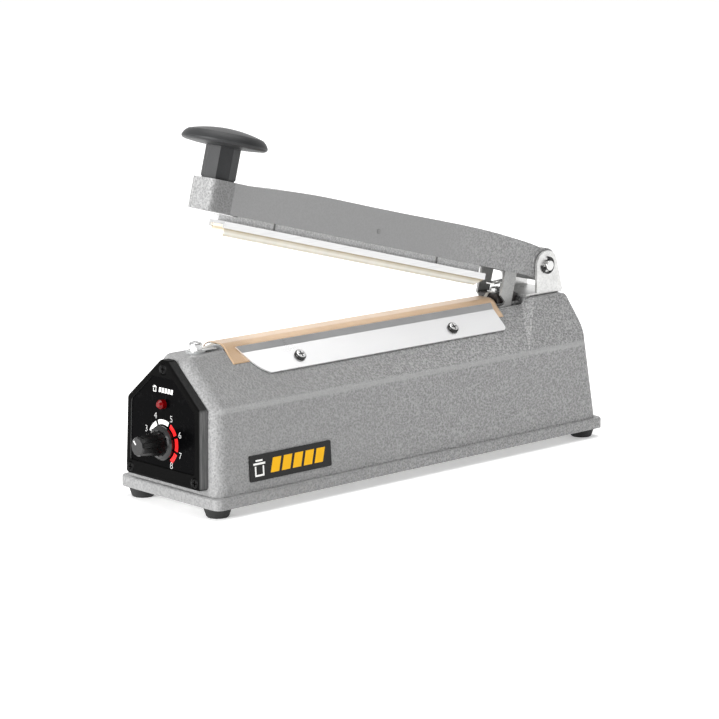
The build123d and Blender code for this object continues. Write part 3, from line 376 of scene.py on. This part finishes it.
def silicone(name):
    """Cast silicone: creamy, slightly translucent, dust in its pores, painted highlight in its
    middle.
    """
    g = Graph(name)
    cloud = g.noise(70.0, 4.0, 0.55)
    pores = g.noise(1500.0, 2.0, 0.5)
    base = g.ramp(cloud, [(0.3, (0.56, 0.50, 0.39)), (0.7, (0.68, 0.63, 0.53))])
    # Painted highlight: a paler band along the middle of the strip.
    middle = g.math("MULTIPLY", g.along(PIN, ABOVE_ARM, SILICONE_LOW, SILICONE_LOW + 1.6),
                    g.one_minus(g.along(PIN, ABOVE_ARM, SILICONE_HIGH - 2.6, SILICONE_HIGH - 1.2)))
    base = g.mix(g.math("MULTIPLY", middle, 0.75), base, (0.86, 0.85, 0.80))
    line = g.math("MULTIPLY", g.along(PIN, ABOVE_ARM, SILICONE_HIGH - 1.1, SILICONE_HIGH - 0.5),
                  g.one_minus(g.along(PIN, ABOVE_ARM, SILICONE_HIGH + 0.3, SILICONE_HIGH + 0.7)))
    base = g.mix(g.math("MULTIPLY", line, 0.7), base, (0.34, 0.27, 0.16))
    g.set(Base_Color=g.mix(g.ramp(pores, [(0.6, 0.0), (0.8, 0.3)]), base, (0.55, 0.48, 0.37)),
          Roughness=g.math("MULTIPLY_ADD", pores, 0.15, 0.42, clamp=True),
          Normal=g.bump(pores, 0.12, 0.00005))
    g.set(Subsurface_Weight=0.25, Subsurface_Radius=(0.004, 0.003, 0.002), Subsurface_Scale=0.6)
    return g.mat


def weave(name, light, dark, threads, rough=0.42, coat=0.25, paler=0.0):
    """Plain-woven cloth: over and under threads of two directions, X and Y.
    paler lightens it away from the front end of the bar, where it is darkest."""
    g = Graph(name)
    across = g.add("ShaderNodeTexWave", Scale=threads, Distortion=0.6, Detail=1.0)
    across.bands_direction = "X"
    along = g.add("ShaderNodeTexWave", Scale=threads, Distortion=0.6, Detail=1.0)
    along.bands_direction = "Y"
    for tex in (across, along):
        g.tree.links.new(g.coords, tex.inputs["Vector"])
    cross = g.math("MULTIPLY", across.outputs["Fac"], along.outputs["Fac"])
    stain = g.noise(48.0, 4.0, 0.6)
    mottle = g.noise(900.0, 2.0, 0.5)
    base = g.ramp(g.math("MULTIPLY_ADD", mottle, 0.35, g.math("MULTIPLY", cross, 0.65)),
                  [(0.1, dark), (0.75, light)])
    if paler:
        rearward = g.along(FRONT_POINT, X_AXIS, 46.0, 62.0)
        base = g.mix(g.math("MULTIPLY", rearward, paler), base,
                     tuple(c * 1.24 + 0.045 for c in light))
    scorched = tuple(c * 0.82 for c in dark)
    g.set(Base_Color=g.mix(g.ramp(stain, [(0.45, 0.0), (0.85, 0.35)]), base, scorched),
          Roughness=g.math("MULTIPLY_ADD", stain, 0.2, rough - 0.1, clamp=True),
          Normal=g.bump(cross, 0.25, 0.00007))
    g.set(Sheen_Weight=0.1, Coat_Weight=coat, Coat_Roughness=0.35)
    return g.mat


def gloss_print(name, colour, rough, shine=0.5):
    """Printed film on a glossy carrier, with faint dust and hairline marks."""
    g = Graph(name)
    hair = g.noise(1.0, 6.0, 0.7, g.scaled((120.0, 1500.0, 260.0)))
    dust = g.noise(420.0, 3.0, 0.6)
    pale = tuple(min(1.0, c * 1.3 + 0.015) for c in colour)
    g.set(Base_Color=g.mix(g.ramp(dust, [(0.6, 0.0), (0.85, 0.5)]), colour, pale),
          Roughness=g.math("MULTIPLY_ADD", hair, 0.16, rough - 0.06, clamp=True),
          Specular_IOR_Level=shine, Normal=g.bump(dust, 0.05, 0.00003))
    return g.mat


def jewel(name):
    """Moulded lens of the lamp, dark red and lit only from outside."""
    g = Graph(name)
    depth = g.noise(260.0, 2.0, 0.5)
    g.set(Base_Color=g.ramp(depth, [(0.3, (0.13, 0.0, 0.001)), (0.7, (0.30, 0.002, 0.003))]),
          Roughness=g.math("MULTIPLY_ADD", depth, 0.06, 0.08), Normal=g.bump(depth, 0.1, 0.0001))
    g.set(Transmission_Weight=0.25, IOR=1.5, Specular_IOR_Level=0.25)
    return g.mat


def laminated(name):
    """Stacked core plates under varnish."""
    g = Graph(name)
    plates = g.add("ShaderNodeTexWave", Scale=320.0, Distortion=0.3, Detail=2.0)
    plates.bands_direction = "Y"
    g.tree.links.new(g.coords, plates.inputs["Vector"])
    rust = g.noise(120.0, 4.0, 0.6)
    base = g.ramp(plates.outputs["Fac"], [(0.2, grey(0.05)), (0.7, grey(0.22))])
    g.set(Base_Color=g.mix(g.ramp(rust, [(0.5, 0.0), (0.8, 0.35)]), base, (0.16, 0.08, 0.04)),
          Metallic=0.6, Roughness=g.math("MULTIPLY_ADD", rust, 0.25, 0.35),
          Normal=g.bump(plates.outputs["Fac"], 0.3, 0.0001))
    return g.mat


def screw_metal(name, level, rough=0.3):
    """Turned metal with a worn plating or coating."""
    g = Graph(name)
    turned = g.noise(700.0, 4.0, 0.6)
    worn = g.noise(230.0, 4.0, 0.6)
    plated = g.ramp(worn, [(0.3, grey(level * 0.72)), (0.7, grey(min(0.95, level * 1.15)))])
    g.set(Base_Color=plated, Metallic=0.95,
          Roughness=g.math("MULTIPLY_ADD", turned, 0.2, rough - 0.1, clamp=True),
          Normal=g.bump(turned, 0.12, 0.00004))
    return g.mat


def clamp_screw(name):
    """Plated pan head: bright on its crown, with painted shade round its rim and in its recess."""
    g = Graph(name)
    sideways = g.math("MULTIPLY", g.facing("Y"), math.sin(SHOULDER))
    crown = g.math("MULTIPLY_ADD", g.normal("Z"), math.cos(SHOULDER), sideways)
    worn = g.noise(700.0, 3.0, 0.6)
    plated = g.ramp(worn, [(0.3, grey(0.62)), (0.7, grey(0.88))])
    # Painted shade: faces turned away from the head's crown are painted near black.
    g.set(Base_Color=g.mix(g.ramp(crown, [(0.86, 0.0), (0.955, 1.0)]), grey(0.030), plated),
          Metallic=0.8, Roughness=g.math("MULTIPLY_ADD", worn, 0.15, 0.20),
          Normal=g.bump(worn, 0.1, 0.00004))
    return g.mat


M = {
    "body": hammertone("hammertone_body", 0.245),
    "arm": hammertone("hammertone_arm", 0.262, arm=True),
    "zinc": zinc("zinc_sheet"),
    "plate": zinc("zinc_plate_dull", 0.5, 0.45),
    "bright": brushed("ground_steel", (0.72, 0.72, 0.71), 0.28, "Y"),
    "lever": zinc("lever_steel", 0.36, 0.42),
    "screw": screw_metal("screw_nickel", 0.62),
    "black_screw": screw_metal("screw_black", 0.008, 0.45),
    "clamp_screw": clamp_screw("screw_clamp"),
    "painted_pin": screw_metal("pin_painted", 0.30, 0.6),
    "clamp": brushed("clamp_aluminium", (0.98, 0.98, 0.985), 0.26, "X", strength=0.006,
                     metallic=0.85, waves=0.16, streak=0.965, vary=0.05),
    "bar": brushed("bar_aluminium", (0.80, 0.81, 0.82), 0.32, "X"),
    "rail": extrusion("rail_aluminium"),
    "panel": panel_plastic("panel_plastic"),
    "label": gloss_print("label_film", (0.0012, 0.0012, 0.0014), 0.2, shine=0.018),
    "badge": gloss_print("badge_film", grey(0.003), 0.22, shine=0.25),
    "knob": plastic("knob_plastic", grey(0.004), 0.22, grain=2400.0, strength=0.05,
                    depth=0.00003, wear=0.1, shine=0.62),
    "handle": plastic("handle_plastic", (0.024, 0.0245, 0.0255), 0.46, strength=0.35,
                      depth=0.00012, wear=0.3, shine=0.32),
    "lamp": jewel("lamp_jewel"),
    "nylon": plastic("black_nylon", grey(0.03), 0.5),
    "bakelite": plastic("bakelite", (0.022, 0.018, 0.017), 0.35, grain=900.0, strength=0.1,
                        depth=0.00004, coat=0.2),
    "rubber": rubber("foot_rubber", grey(0.011)),
    "silicone": silicone("silicone_strip"),
    "ptfe": weave("ptfe_cloth", (0.560, 0.388, 0.242), (0.450, 0.294, 0.168), 1300.0,
                  paler=0.8),
    "glass_cloth": weave("glass_cloth", (0.78, 0.76, 0.68), (0.62, 0.60, 0.50), 1600.0,
                         rough=0.6, coat=0.0),
    "nichrome": brushed("nichrome", (0.58, 0.55, 0.50), 0.35, "X"),
    "board": gloss_print("board_mask", (0.02, 0.12, 0.04), 0.35),
    "relay": plastic("relay_case", (0.03, 0.08, 0.26), 0.35),
    "sleeve": gloss_print("capacitor_sleeve", (0.02, 0.03, 0.09), 0.25),
    "core": laminated("core_plates"),
    "tape": weave("coil_tape", (0.62, 0.45, 0.12), (0.45, 0.30, 0.07), 700.0,
                  rough=0.45, coat=0.3),
    "switch": plastic("switch_case", grey(0.03), 0.45),
    "plunger": plastic("plunger_plastic", (0.42, 0.02, 0.015), 0.4),
    "spring": brushed("spring_wire", (0.42, 0.42, 0.43), 0.34, "Z"),
    "phenolic": plastic("grey_phenolic", (0.40, 0.41, 0.41), 0.4, grain=1200.0, strength=0.1,
                        depth=0.00004),
    "black_steel": screw_metal("black_oxide", 0.05, 0.38),
    "print_white": gloss_print("print_white", (0.86, 0.86, 0.84), 0.35),
    "print_grey": gloss_print("print_grey", (0.60, 0.60, 0.59), 0.35),
    "print_red": gloss_print("print_red", (0.78, 0.014, 0.014), 0.3, shine=0.25),
    "print_yellow": gloss_print("print_yellow", (0.84, 0.44, 0.004), 0.3, shine=0.15),
}

LOOK = {
    "base_casting": "body", "bottom_plate": "plate", "rubber_feet": "rubber",
    "foot_screws": "screw", "front_panel": "panel", "panel_label": "label",
    "panel_screws": "black_screw", "potentiometer_body": "zinc", "potentiometer_nut": "screw",
    "potentiometer_shaft": "bright", "timer_knob": "knob", "lamp_lens": "lamp",
    "lamp_holder": "nylon", "timer_board": "board", "board_relay": "relay",
    "board_capacitors": "sleeve", "transformer_core": "core", "transformer_coil": "tape",
    "transformer_frame": "plate", "transformer_screws": "screw", "switch_bridge": "plate",
    "switch_bridge_screws": "screw", "microswitch_body": "switch",
    "microswitch_plunger": "plunger", "microswitch_screws": "screw", "return_spring": "spring",
    "sealing_bar": "bar", "insulation_strip": "glass_cloth", "heating_element": "nichrome",
    "ptfe_cover": "ptfe", "clamp_strip_near": "clamp", "clamp_strip_far": "clamp",
    "clamp_screws": "clamp_screw", "front_terminal_bush": "phenolic", "front_terminal_lug": "zinc",
    "front_terminal_nut": "screw", "front_terminal_screw": "screw",
    "rear_terminal_block": "bakelite", "rear_terminal_strap": "zinc",
    "rear_terminal_screw": "screw", "side_badge": "badge", "cord_grommet": "rubber",
    "hinge_bracket": "zinc", "bracket_screws": "screw", "hinge_pin": "bright",
    "hinge_clips": "black_steel", "hinge_washers": "plate", "arm_casting": "arm",
    "handle_knob": "handle", "handle_screw": "screw", "arm_lever": "lever",
    "lever_screw": "screw", "cross_pin": "painted_pin", "pressure_rail": "rail",
    "silicone_strip": "silicone",
}
for node, look in LOOK.items():
    mesh = nodes[node].data
    mesh.materials.clear()
    mesh.materials.append(M[look])


# ---------------------------------------------------------------- frames on the object
def span(node):
    """Low and high corner of a node's box."""
    low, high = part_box(node)
    return Vector(low), Vector(high)


def plane_matrix(origin, x_dir, z_dir):
    """Frame of a wall: x along it, z out of it."""
    x_dir, z_dir = Vector(x_dir).normalized(), Vector(z_dir).normalized()
    y_dir = z_dir.cross(x_dir)
    m = Matrix((x_dir, y_dir, z_dir)).transposed().to_4x4()
    m.translation = Vector(origin)
    return m


WALL_FOOT = FLANGE_Z + FLANGE_H * MM
PANEL = plane_matrix((FRONT_X + WALL_INSET * MM, 0.0, WALL_FOOT), (0, -1, 0),
                     (-math.cos(FRONT_LEAN), 0, math.sin(FRONT_LEAN)))
SIDE = plane_matrix((FRONT_X, (WALL_INSET - FLANGE_HALF) * MM, WALL_FOOT), (1, 0, 0),
                    (0, -math.cos(SIDE_LEAN), math.sin(SIDE_LEAN)))

# Millimetres up the panel from its wall's foot, and out of the wall.
KNOB_V = 26.1
LABEL_TOP, BADGE_TOP, KNOB_TIP = 5.6, 0.6, 24.6
INK_GAP, INK_TOP = 0.005, 0.04


def ink(surface):
    """Lower and upper face of a print on a surface."""
    return surface + INK_GAP, surface + INK_TOP


def mesh_object(name, bm, material, matrix=None):
    mesh = bpy.data.meshes.new(name)
    bm.normal_update()
    bm.to_mesh(mesh)
    bm.free()
    if matrix is not None:
        mesh.transform(matrix)
    mesh.materials.append(material)
    obj = bpy.data.objects.new(name, mesh)
    bpy.context.scene.collection.objects.link(obj)
    return obj


def add_slab(bm, points, w0, w1):
    """A flat printed shape: a closed outline in millimetres with a little thickness."""
    low = [bm.verts.new((u * MM, v * MM, w0 * MM)) for u, v in points]
    high = [bm.verts.new((u * MM, v * MM, w1 * MM)) for u, v in points]
    bm.faces.new(high)
    bm.faces.new(list(reversed(low)))
    count = len(points)
    for i in range(count):
        j = (i + 1) % count
        bm.faces.new((low[i], low[j], high[j], high[i]))


def arc_outline(centre, r0, r1, start, end, steps=18):
    """Ring sector; angles run clockwise from straight up, in degrees."""
    def at(radius, angle):
        a = math.radians(angle)
        return centre[0] + radius * math.sin(a), centre[1] + radius * math.cos(a)

    angles = [start + (end - start) * i / steps for i in range(steps + 1)]
    outer = [at(r1, a) for a in angles]
    inner = [at(r0, a) for a in reversed(angles)]
    return list(reversed(outer + inner))


# ---------------------------------------------------------------- dial print
# Numeral and its place, in degrees clockwise from straight up.
MARKS = [(3, -69.0), (4, -25.6), (5, 25.8), (6, 66.0), (7, 109.0), (8, 148.0)]
ARC_INNER, ARC_OUTER = 10.7, 13.4
ARC_GAP = 4.0             # degrees left free beside each mark
WHITE_ARCS = 2            # the rest are red
NUMERAL_SIZE, NUMERAL_RADIUS = 5.5, 16.2
LAST_NUMERAL_RADIUS = 14.4    # the lowest numeral sits closer in, clear of the label's edge
NUMERAL_RELIEF, NUMERAL_THINNING = 0.005, -0.018      # as shares of the numeral's size
POINTER_ANGLE = -47.0
POINTER_START, POINTER_END, POINTER_HALF = 1.4, 4.3, 0.4


def dial_arcs():
    white, red = bmesh.new(), bmesh.new()
    for i, (here, following) in enumerate(zip(MARKS, MARKS[1:])):
        shape = arc_outline((0, KNOB_V), ARC_INNER, ARC_OUTER, here[1] + ARC_GAP,
                            following[1] - ARC_GAP)
        add_slab(white if i < WHITE_ARCS else red, shape, *ink(LABEL_TOP))
    return [mesh_object("dial_arcs_white", white, M["print_white"], PANEL),
            mesh_object("dial_arcs_red", red, M["print_red"], PANEL)]


def number_mesh(name, text):
    """Filled numeral one unit high, as a mesh."""
    curve = bpy.data.curves.new(name, "FONT")
    curve.body = text
    curve.align_x = "CENTER"
    curve.align_y = "CENTER"
    curve.extrude = NUMERAL_RELIEF
    curve.offset = NUMERAL_THINNING
    holder = bpy.data.objects.new(name + "_text", curve)
    bpy.context.scene.collection.objects.link(holder)
    graph = bpy.context.evaluated_depsgraph_get()
    mesh = bpy.data.meshes.new_from_object(holder.evaluated_get(graph))
    bpy.data.objects.remove(holder)
    bpy.data.curves.remove(curve)
    return mesh


def dial_numbers():
    made = []
    for number, angle in MARKS:
        name = "dial_number_%d" % number
        mesh = number_mesh(name, str(number))
        a = math.radians(angle)
        radius = LAST_NUMERAL_RADIUS if number == MARKS[-1][0] else NUMERAL_RADIUS
        place = Matrix.Translation((radius * math.sin(a) * MM,
                                    (KNOB_V + radius * math.cos(a)) * MM,
                                    ink(LABEL_TOP)[1] * MM))
        mesh.transform(PANEL @ place @ Matrix.Scale(NUMERAL_SIZE * MM, 4))
        mesh.materials.clear()
        mesh.materials.append(M["print_grey"])
        piece = bpy.data.objects.new(name, mesh)
        bpy.context.scene.collection.objects.link(piece)
        made.append(piece)
    return made


def knob_mark():
    """Painted line on the tip of the knob, between marks 3 and 4."""
    bm = bmesh.new()
    a = math.radians(POINTER_ANGLE)
    du, dv = math.sin(a), math.cos(a)
    points = []
    for r, side in ((POINTER_START, POINTER_HALF), (POINTER_END, POINTER_HALF),
                    (POINTER_END, -POINTER_HALF), (POINTER_START, -POINTER_HALF)):
        points.append((du * r - dv * side, KNOB_V + dv * r + du * side))
    add_slab(bm, points, *ink(KNOB_TIP))
    return mesh_object("knob_mark", bm, M["print_white"], PANEL)


# Pictograms on the badge and the panel: the pouch's corner and height, then the row of
# bars, with its left end, bottom and top, and one bar's width, step and lean.
BARS = 5
BADGE_ICON, BADGE_ICON_HEIGHT = (29.8, 8.2), 9.6
BADGE_BARS, BADGE_BAR, BADGE_BAR_STEP, BADGE_BAR_LEAN = (41.5, 9.0, 17.4), 6.4, 8.4, 2.2
PANEL_ICON, PANEL_ICON_HEIGHT = (-9.2, 54.6), 3.6
PANEL_BARS, PANEL_BAR, PANEL_BAR_STEP, PANEL_BAR_LEAN = (-4.4, 54.9, 57.7), 1.8, 2.6, 0.6


def pouch_icon(bm, origin, height, surface):
    """Generic pictogram: a pouch outline with a seal line across its top."""
    u, v = origin
    wide, line = height * 0.72, height * 0.11
    blocks = [
        (0.0, 0.0, wide, line),
        (0.0, line, line, height * 0.62),
        (wide - line, line, wide, height * 0.62),
        (-line, height * 0.70, wide + line, height * 0.82),
        (wide * 0.12, height * 0.90, wide * 0.88, height),
    ]
    for u0, v0, u1, v1 in blocks:
        add_slab(bm, [(u + u0, v + v0), (u + u1, v + v0), (u + u1, v + v1), (u + u0, v + v1)],
                 *ink(surface))


def slanted_bars(bm, bars, width, step, lean, surface):
    """A row of bars that lean to the right; bars is (left end, bottom, top)."""
    left, bottom, top = bars
    for i in range(BARS):
        u = left + step * i
        add_slab(bm, [(u, bottom), (u + width, bottom), (u + width + lean, top), (u + lean, top)],
                 *ink(surface))


def side_badge_print():
    white, yellow = bmesh.new(), bmesh.new()
    pouch_icon(white, BADGE_ICON, BADGE_ICON_HEIGHT, BADGE_TOP)
    slanted_bars(yellow, BADGE_BARS, BADGE_BAR, BADGE_BAR_STEP, BADGE_BAR_LEAN, BADGE_TOP)
    return [mesh_object("badge_print_white", white, M["print_white"], SIDE),
            mesh_object("badge_print_yellow", yellow, M["print_yellow"], SIDE)]


def panel_mark():
    bm = bmesh.new()
    pouch_icon(bm, PANEL_ICON, PANEL_ICON_HEIGHT, LABEL_TOP)
    slanted_bars(bm, PANEL_BARS, PANEL_BAR, PANEL_BAR_STEP, PANEL_BAR_LEAN, LABEL_TOP)
    return [mesh_object("panel_print", bm, M["print_white"], PANEL)]


for piece in dial_arcs() + dial_numbers() + panel_mark():
    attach(piece, "base")
knob_line = knob_mark()
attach(knob_line, "timer_dial")
for piece in side_badge_print():
    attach(piece, "base")


# ---------------------------------------------------------------- cover cloth
COVER_T = 0.25            # cloth thickness
COVER_LIFT = 0.04         # air between the cloth and the bar
COVER_SEAM = 0.05         # the cloth is this much thinner than the space it fills
COVER_FRAY = 0.12         # unevenness of its front edge
COVER_STATIONS = 150
COVER_STEP = 0.8          # spacing of the section's points
COVER_KEEP = 0.7          # how much of its own place a point keeps against its neighbours'
TIGHT_HALF = 5.6          # the cloth is tight this far from its middle line
RIPPLE_LIFT, RIPPLE_SWING = 0.10, 0.075


def shoulder_z(y):
    return BED_UP - (y - BED_HALF) * math.tan(SHOULDER)


# Half section under the cloth: the bar's top edge, its foot, and two points on the shoulder.
COVER_PATH = [(5.1, 85.5), (8.3, 83.78), (12.0, shoulder_z(12.0) + 0.08),
              (16.9, shoulder_z(16.9) + 0.08)]


def cover_profile():
    """Half section of the cloth's underside from the crown outwards: (y, z, distance)."""
    fine, run = [], 0.0
    crown = [(0.0, COVER_PATH[0][1])] + COVER_PATH
    for (ya, za), (yb, zb) in zip(crown, crown[1:]):
        length = math.hypot(yb - ya, zb - za)
        steps = max(2, round(length / COVER_STEP))
        for i in range(steps):
            t = i / steps
            fine.append((ya + (yb - ya) * t, za + (zb - za) * t, run + length * t))
        run += length
    fine.append((*crown[-1], run))
    smooth = []
    pull = (1 - COVER_KEEP) / 2
    for i, (y, z, d) in enumerate(fine):
        if 0 < i < len(fine) - 1:
            y = COVER_KEEP * y + pull * (fine[i - 1][0] + fine[i + 1][0])
            z = COVER_KEEP * z + pull * (fine[i - 1][1] + fine[i + 1][1])
        smooth.append((y, z + COVER_LIFT, d))
    return smooth, run


def ripple(x, d, run):
    """Lift of the cloth at x metres, d millimetres from its middle line; none at its edges."""
    inner = max(0.0, min(1.0, (abs(d) - TIGHT_HALF) / 3.0))
    outer = max(0.0, min(1.0, (run - abs(d)) / 4.0))
    wave = math.sin(x * 212.0 + d * 0.35) + 0.6 * math.sin(x * 545.0 - d * 0.5 + 1.3)
    wave += 0.4 * math.sin(x * 1210.0 + d * 0.2 + 0.4)
    return inner * outer * (RIPPLE_LIFT + RIPPLE_SWING * wave)


def cover_cloth():
    """Stretched cloth over the bar: tight on the crown, faintly rippled on both slopes."""
    low, high = span("ptfe_cover")
    half, run = cover_profile()
    section = [(-y, z, -d) for y, z, d in reversed(half[1:])] + half
    length = high.x - low.x
    bm = bmesh.new()
    rows = []
    for i in range(COVER_STATIONS + 1):
        x = low.x + length * i / COVER_STATIONS
        row = []
        for y, z, d in section:
            frayed = COVER_FRAY * MM * (1 + math.sin(d * 2.9)) if i == 0 else 0.0
            up = FLANGE_Z + (z + ripple(x, d, run)) * MM
            row.append(bm.verts.new((x + frayed, y * MM, up)))
        rows.append(row)
    for a, b in zip(rows, rows[1:]):
        for j in range(len(section) - 1):
            bm.faces.new((a[j], b[j], b[j + 1], a[j + 1]))
    for face in bm.faces:
        face.smooth = True
    piece = mesh_object("cover_cloth", bm, M["ptfe"])
    thick = piece.modifiers.new("thickness", "SOLIDIFY")
    thick.thickness = (COVER_T - COVER_SEAM) * MM
    thick.offset = 1.0
    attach(piece, "base")
    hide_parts("ptfe_cover")


cover_cloth()


# ---------------------------------------------------------------- return spring
SPRING_WIRE = 0.6         # wire radius
SPRING_TURNS, SPRING_STEPS, SPRING_SIDES = 7, 36, 12


def spring_coil():
    """Helical spring under the lever's foot, built at one length; the real spring shortens as the
    arm comes down.
    """
    low, high = span("return_spring")
    middle = (low + high) / 2
    wire = SPRING_WIRE * MM
    radius = (high.x - low.x) / 2 - wire
    rise = high.z - low.z - 2 * wire
    total = SPRING_TURNS * SPRING_STEPS
    pitch_slope = rise / (2 * math.pi * radius * SPRING_TURNS)
    bm = bmesh.new()
    rings = []
    for i in range(total + 1):
        a = 2 * math.pi * i / SPRING_STEPS
        outward = Vector((math.cos(a), math.sin(a), 0.0))
        forward = Vector((-math.sin(a), math.cos(a), pitch_slope)).normalized()
        upward = outward.cross(forward)
        centre = Vector((middle.x, middle.y, low.z + wire + rise * i / total)) + radius * outward
        ring = []
        for j in range(SPRING_SIDES):
            b = 2 * math.pi * j / SPRING_SIDES
            around = math.cos(b) * outward + math.sin(b) * upward
            ring.append(bm.verts.new(centre + wire * around))
        rings.append(ring)
    for a, b in zip(rings, rings[1:]):
        for j in range(SPRING_SIDES):
            k = (j + 1) % SPRING_SIDES
            bm.faces.new((a[j], a[k], b[k], b[j]))
    bm.faces.new(list(reversed(rings[0])))
    bm.faces.new(rings[-1])
    bmesh.ops.recalc_face_normals(bm, faces=bm.faces)
    for face in bm.faces:
        face.smooth = len(face.verts) == 4
    piece = mesh_object("spring_coil", bm, M["spring"])
    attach(piece, "base")
    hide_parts("return_spring")
    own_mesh(piece)


spring_coil()


# ---------------------------------------------------------------- floor, light, camera
ROOM_LEVEL = 0.72
FLOOR_HALF = 30.0         # metres
FLOOR_GLOW = 0.32
# Cards in the room: direction, the cosines of their outer and inner edges, brightness.
CARDS = [((0.58, -0.62, 0.53), 0.905, 0.950, 0.12),
         ((-0.45, -0.86, 0.22), 0.80, 0.92, 0.25),
         ((0.66, 0.72, 0.20), 0.90, 0.96, 1.9)]
# Lamps: name, place, target and size in metres, power in watts.
LAMPS = [("key", (-2.7, -0.15, 0.75), (0.0, 0.0, 0.08), (1.4, 1.2), 84.0),
         ("top", (0.4, 0.1, 2.6), (0.0, 0.0, 0.0), (2.4, 2.0), 44.0)]
CAMERA_AZIMUTH, CAMERA_ELEVATION = -43.03, 11.33      # degrees
CAMERA_LENS, CAMERA_SENSOR = 146.0, 36.0              # millimetres
CAMERA_BACK, CAMERA_RIGHT, CAMERA_UP = 1.7591, -0.00739, -0.00115
CAMERA_TARGET = (FRONT_X + 0.160, 0.0, FLANGE_Z + 0.060)


def floor():
    bm = bmesh.new()
    bmesh.ops.create_grid(bm, x_segments=2, y_segments=2, size=FLOOR_HALF)
    g = Graph("pale_floor")
    mottle = g.noise(3.0, 2.0, 0.5)
    g.set(Base_Color=g.ramp(mottle, [(0.3, grey(0.92)), (0.7, grey(0.94))]), Roughness=0.9)
    g.set(Specular_IOR_Level=0.1)
    g.set(Emission_Color=(1.0, 1.0, 1.0, 1.0), Emission_Strength=FLOOR_GLOW)
    obj = mesh_object("floor", bm, g.mat)


def area_light(name, place, target, size, power):
    light = bpy.data.lights.new(name, "AREA")
    light.shape = "RECTANGLE"
    light.size, light.size_y = size
    light.energy = power
    obj = bpy.data.objects.new(name, light)
    bpy.context.scene.collection.objects.link(obj)
    obj.location = place
    obj.rotation_euler = (Vector(target) - Vector(place)).to_track_quat("-Z", "Y").to_euler()


def studio():
    """White room with two dark cards, a bright one behind the hinge, and two lamps."""
    world = bpy.data.worlds.new("studio")
    bpy.context.scene.world = world
    world.use_nodes = True
    tree = world.node_tree
    coords = tree.nodes.new("ShaderNodeTexCoord")
    level = None
    for centre, edge, core, brightness in CARDS:
        dot = tree.nodes.new("ShaderNodeVectorMath")
        dot.operation = "DOT_PRODUCT"
        tree.links.new(coords.outputs["Generated"], dot.inputs[0])
        dot.inputs[1].default_value = Vector(centre).normalized()
        card = tree.nodes.new("ShaderNodeMapRange")
        card.inputs["From Min"].default_value = edge
        card.inputs["From Max"].default_value = core
        card.inputs["To Min"].default_value = 1.0
        card.inputs["To Max"].default_value = brightness
        tree.links.new(dot.outputs["Value"], card.inputs["Value"])
        if level is None:
            level = card.outputs["Result"]
        else:
            both = tree.nodes.new("ShaderNodeMath")
            both.operation = "MULTIPLY"
            tree.links.new(level, both.inputs[0])
            tree.links.new(card.outputs["Result"], both.inputs[1])
            level = both.outputs[0]
    tree.nodes["Background"].inputs["Color"].default_value = (1.0, 1.0, 1.0, 1.0)
    strength = tree.nodes.new("ShaderNodeMath")
    strength.operation = "MULTIPLY"
    tree.links.new(level, strength.inputs[0])
    strength.inputs[1].default_value = ROOM_LEVEL
    tree.links.new(strength.outputs[0], tree.nodes["Background"].inputs["Strength"])
    for lamp in LAMPS:
        area_light(*lamp)


def camera():
    """A long lens at the panel end, to the near side, a little above the bed."""
    azimuth, elevation = math.radians(CAMERA_AZIMUTH), math.radians(CAMERA_ELEVATION)
    data = bpy.data.cameras.new("camera")
    data.sensor_width = CAMERA_SENSOR
    data.lens = CAMERA_LENS
    data.clip_start, data.clip_end = 0.05, 200.0
    cam = bpy.data.objects.new("camera", data)
    bpy.context.scene.collection.objects.link(cam)
    back = Vector((math.sin(azimuth) * math.cos(elevation),
                   -math.cos(azimuth) * math.cos(elevation), math.sin(elevation)))
    rotation = (-back).to_track_quat("-Z", "Y")
    right, up = rotation @ Vector((1, 0, 0)), rotation @ Vector((0, 1, 0))
    cam.location = (Vector(CAMERA_TARGET) + back * CAMERA_BACK + right * CAMERA_RIGHT
                    + up * CAMERA_UP)
    cam.rotation_euler = rotation.to_euler()
    bpy.context.scene.camera = cam
    bpy.context.scene.view_settings.view_transform = "Standard"


floor()
studio()
camera()
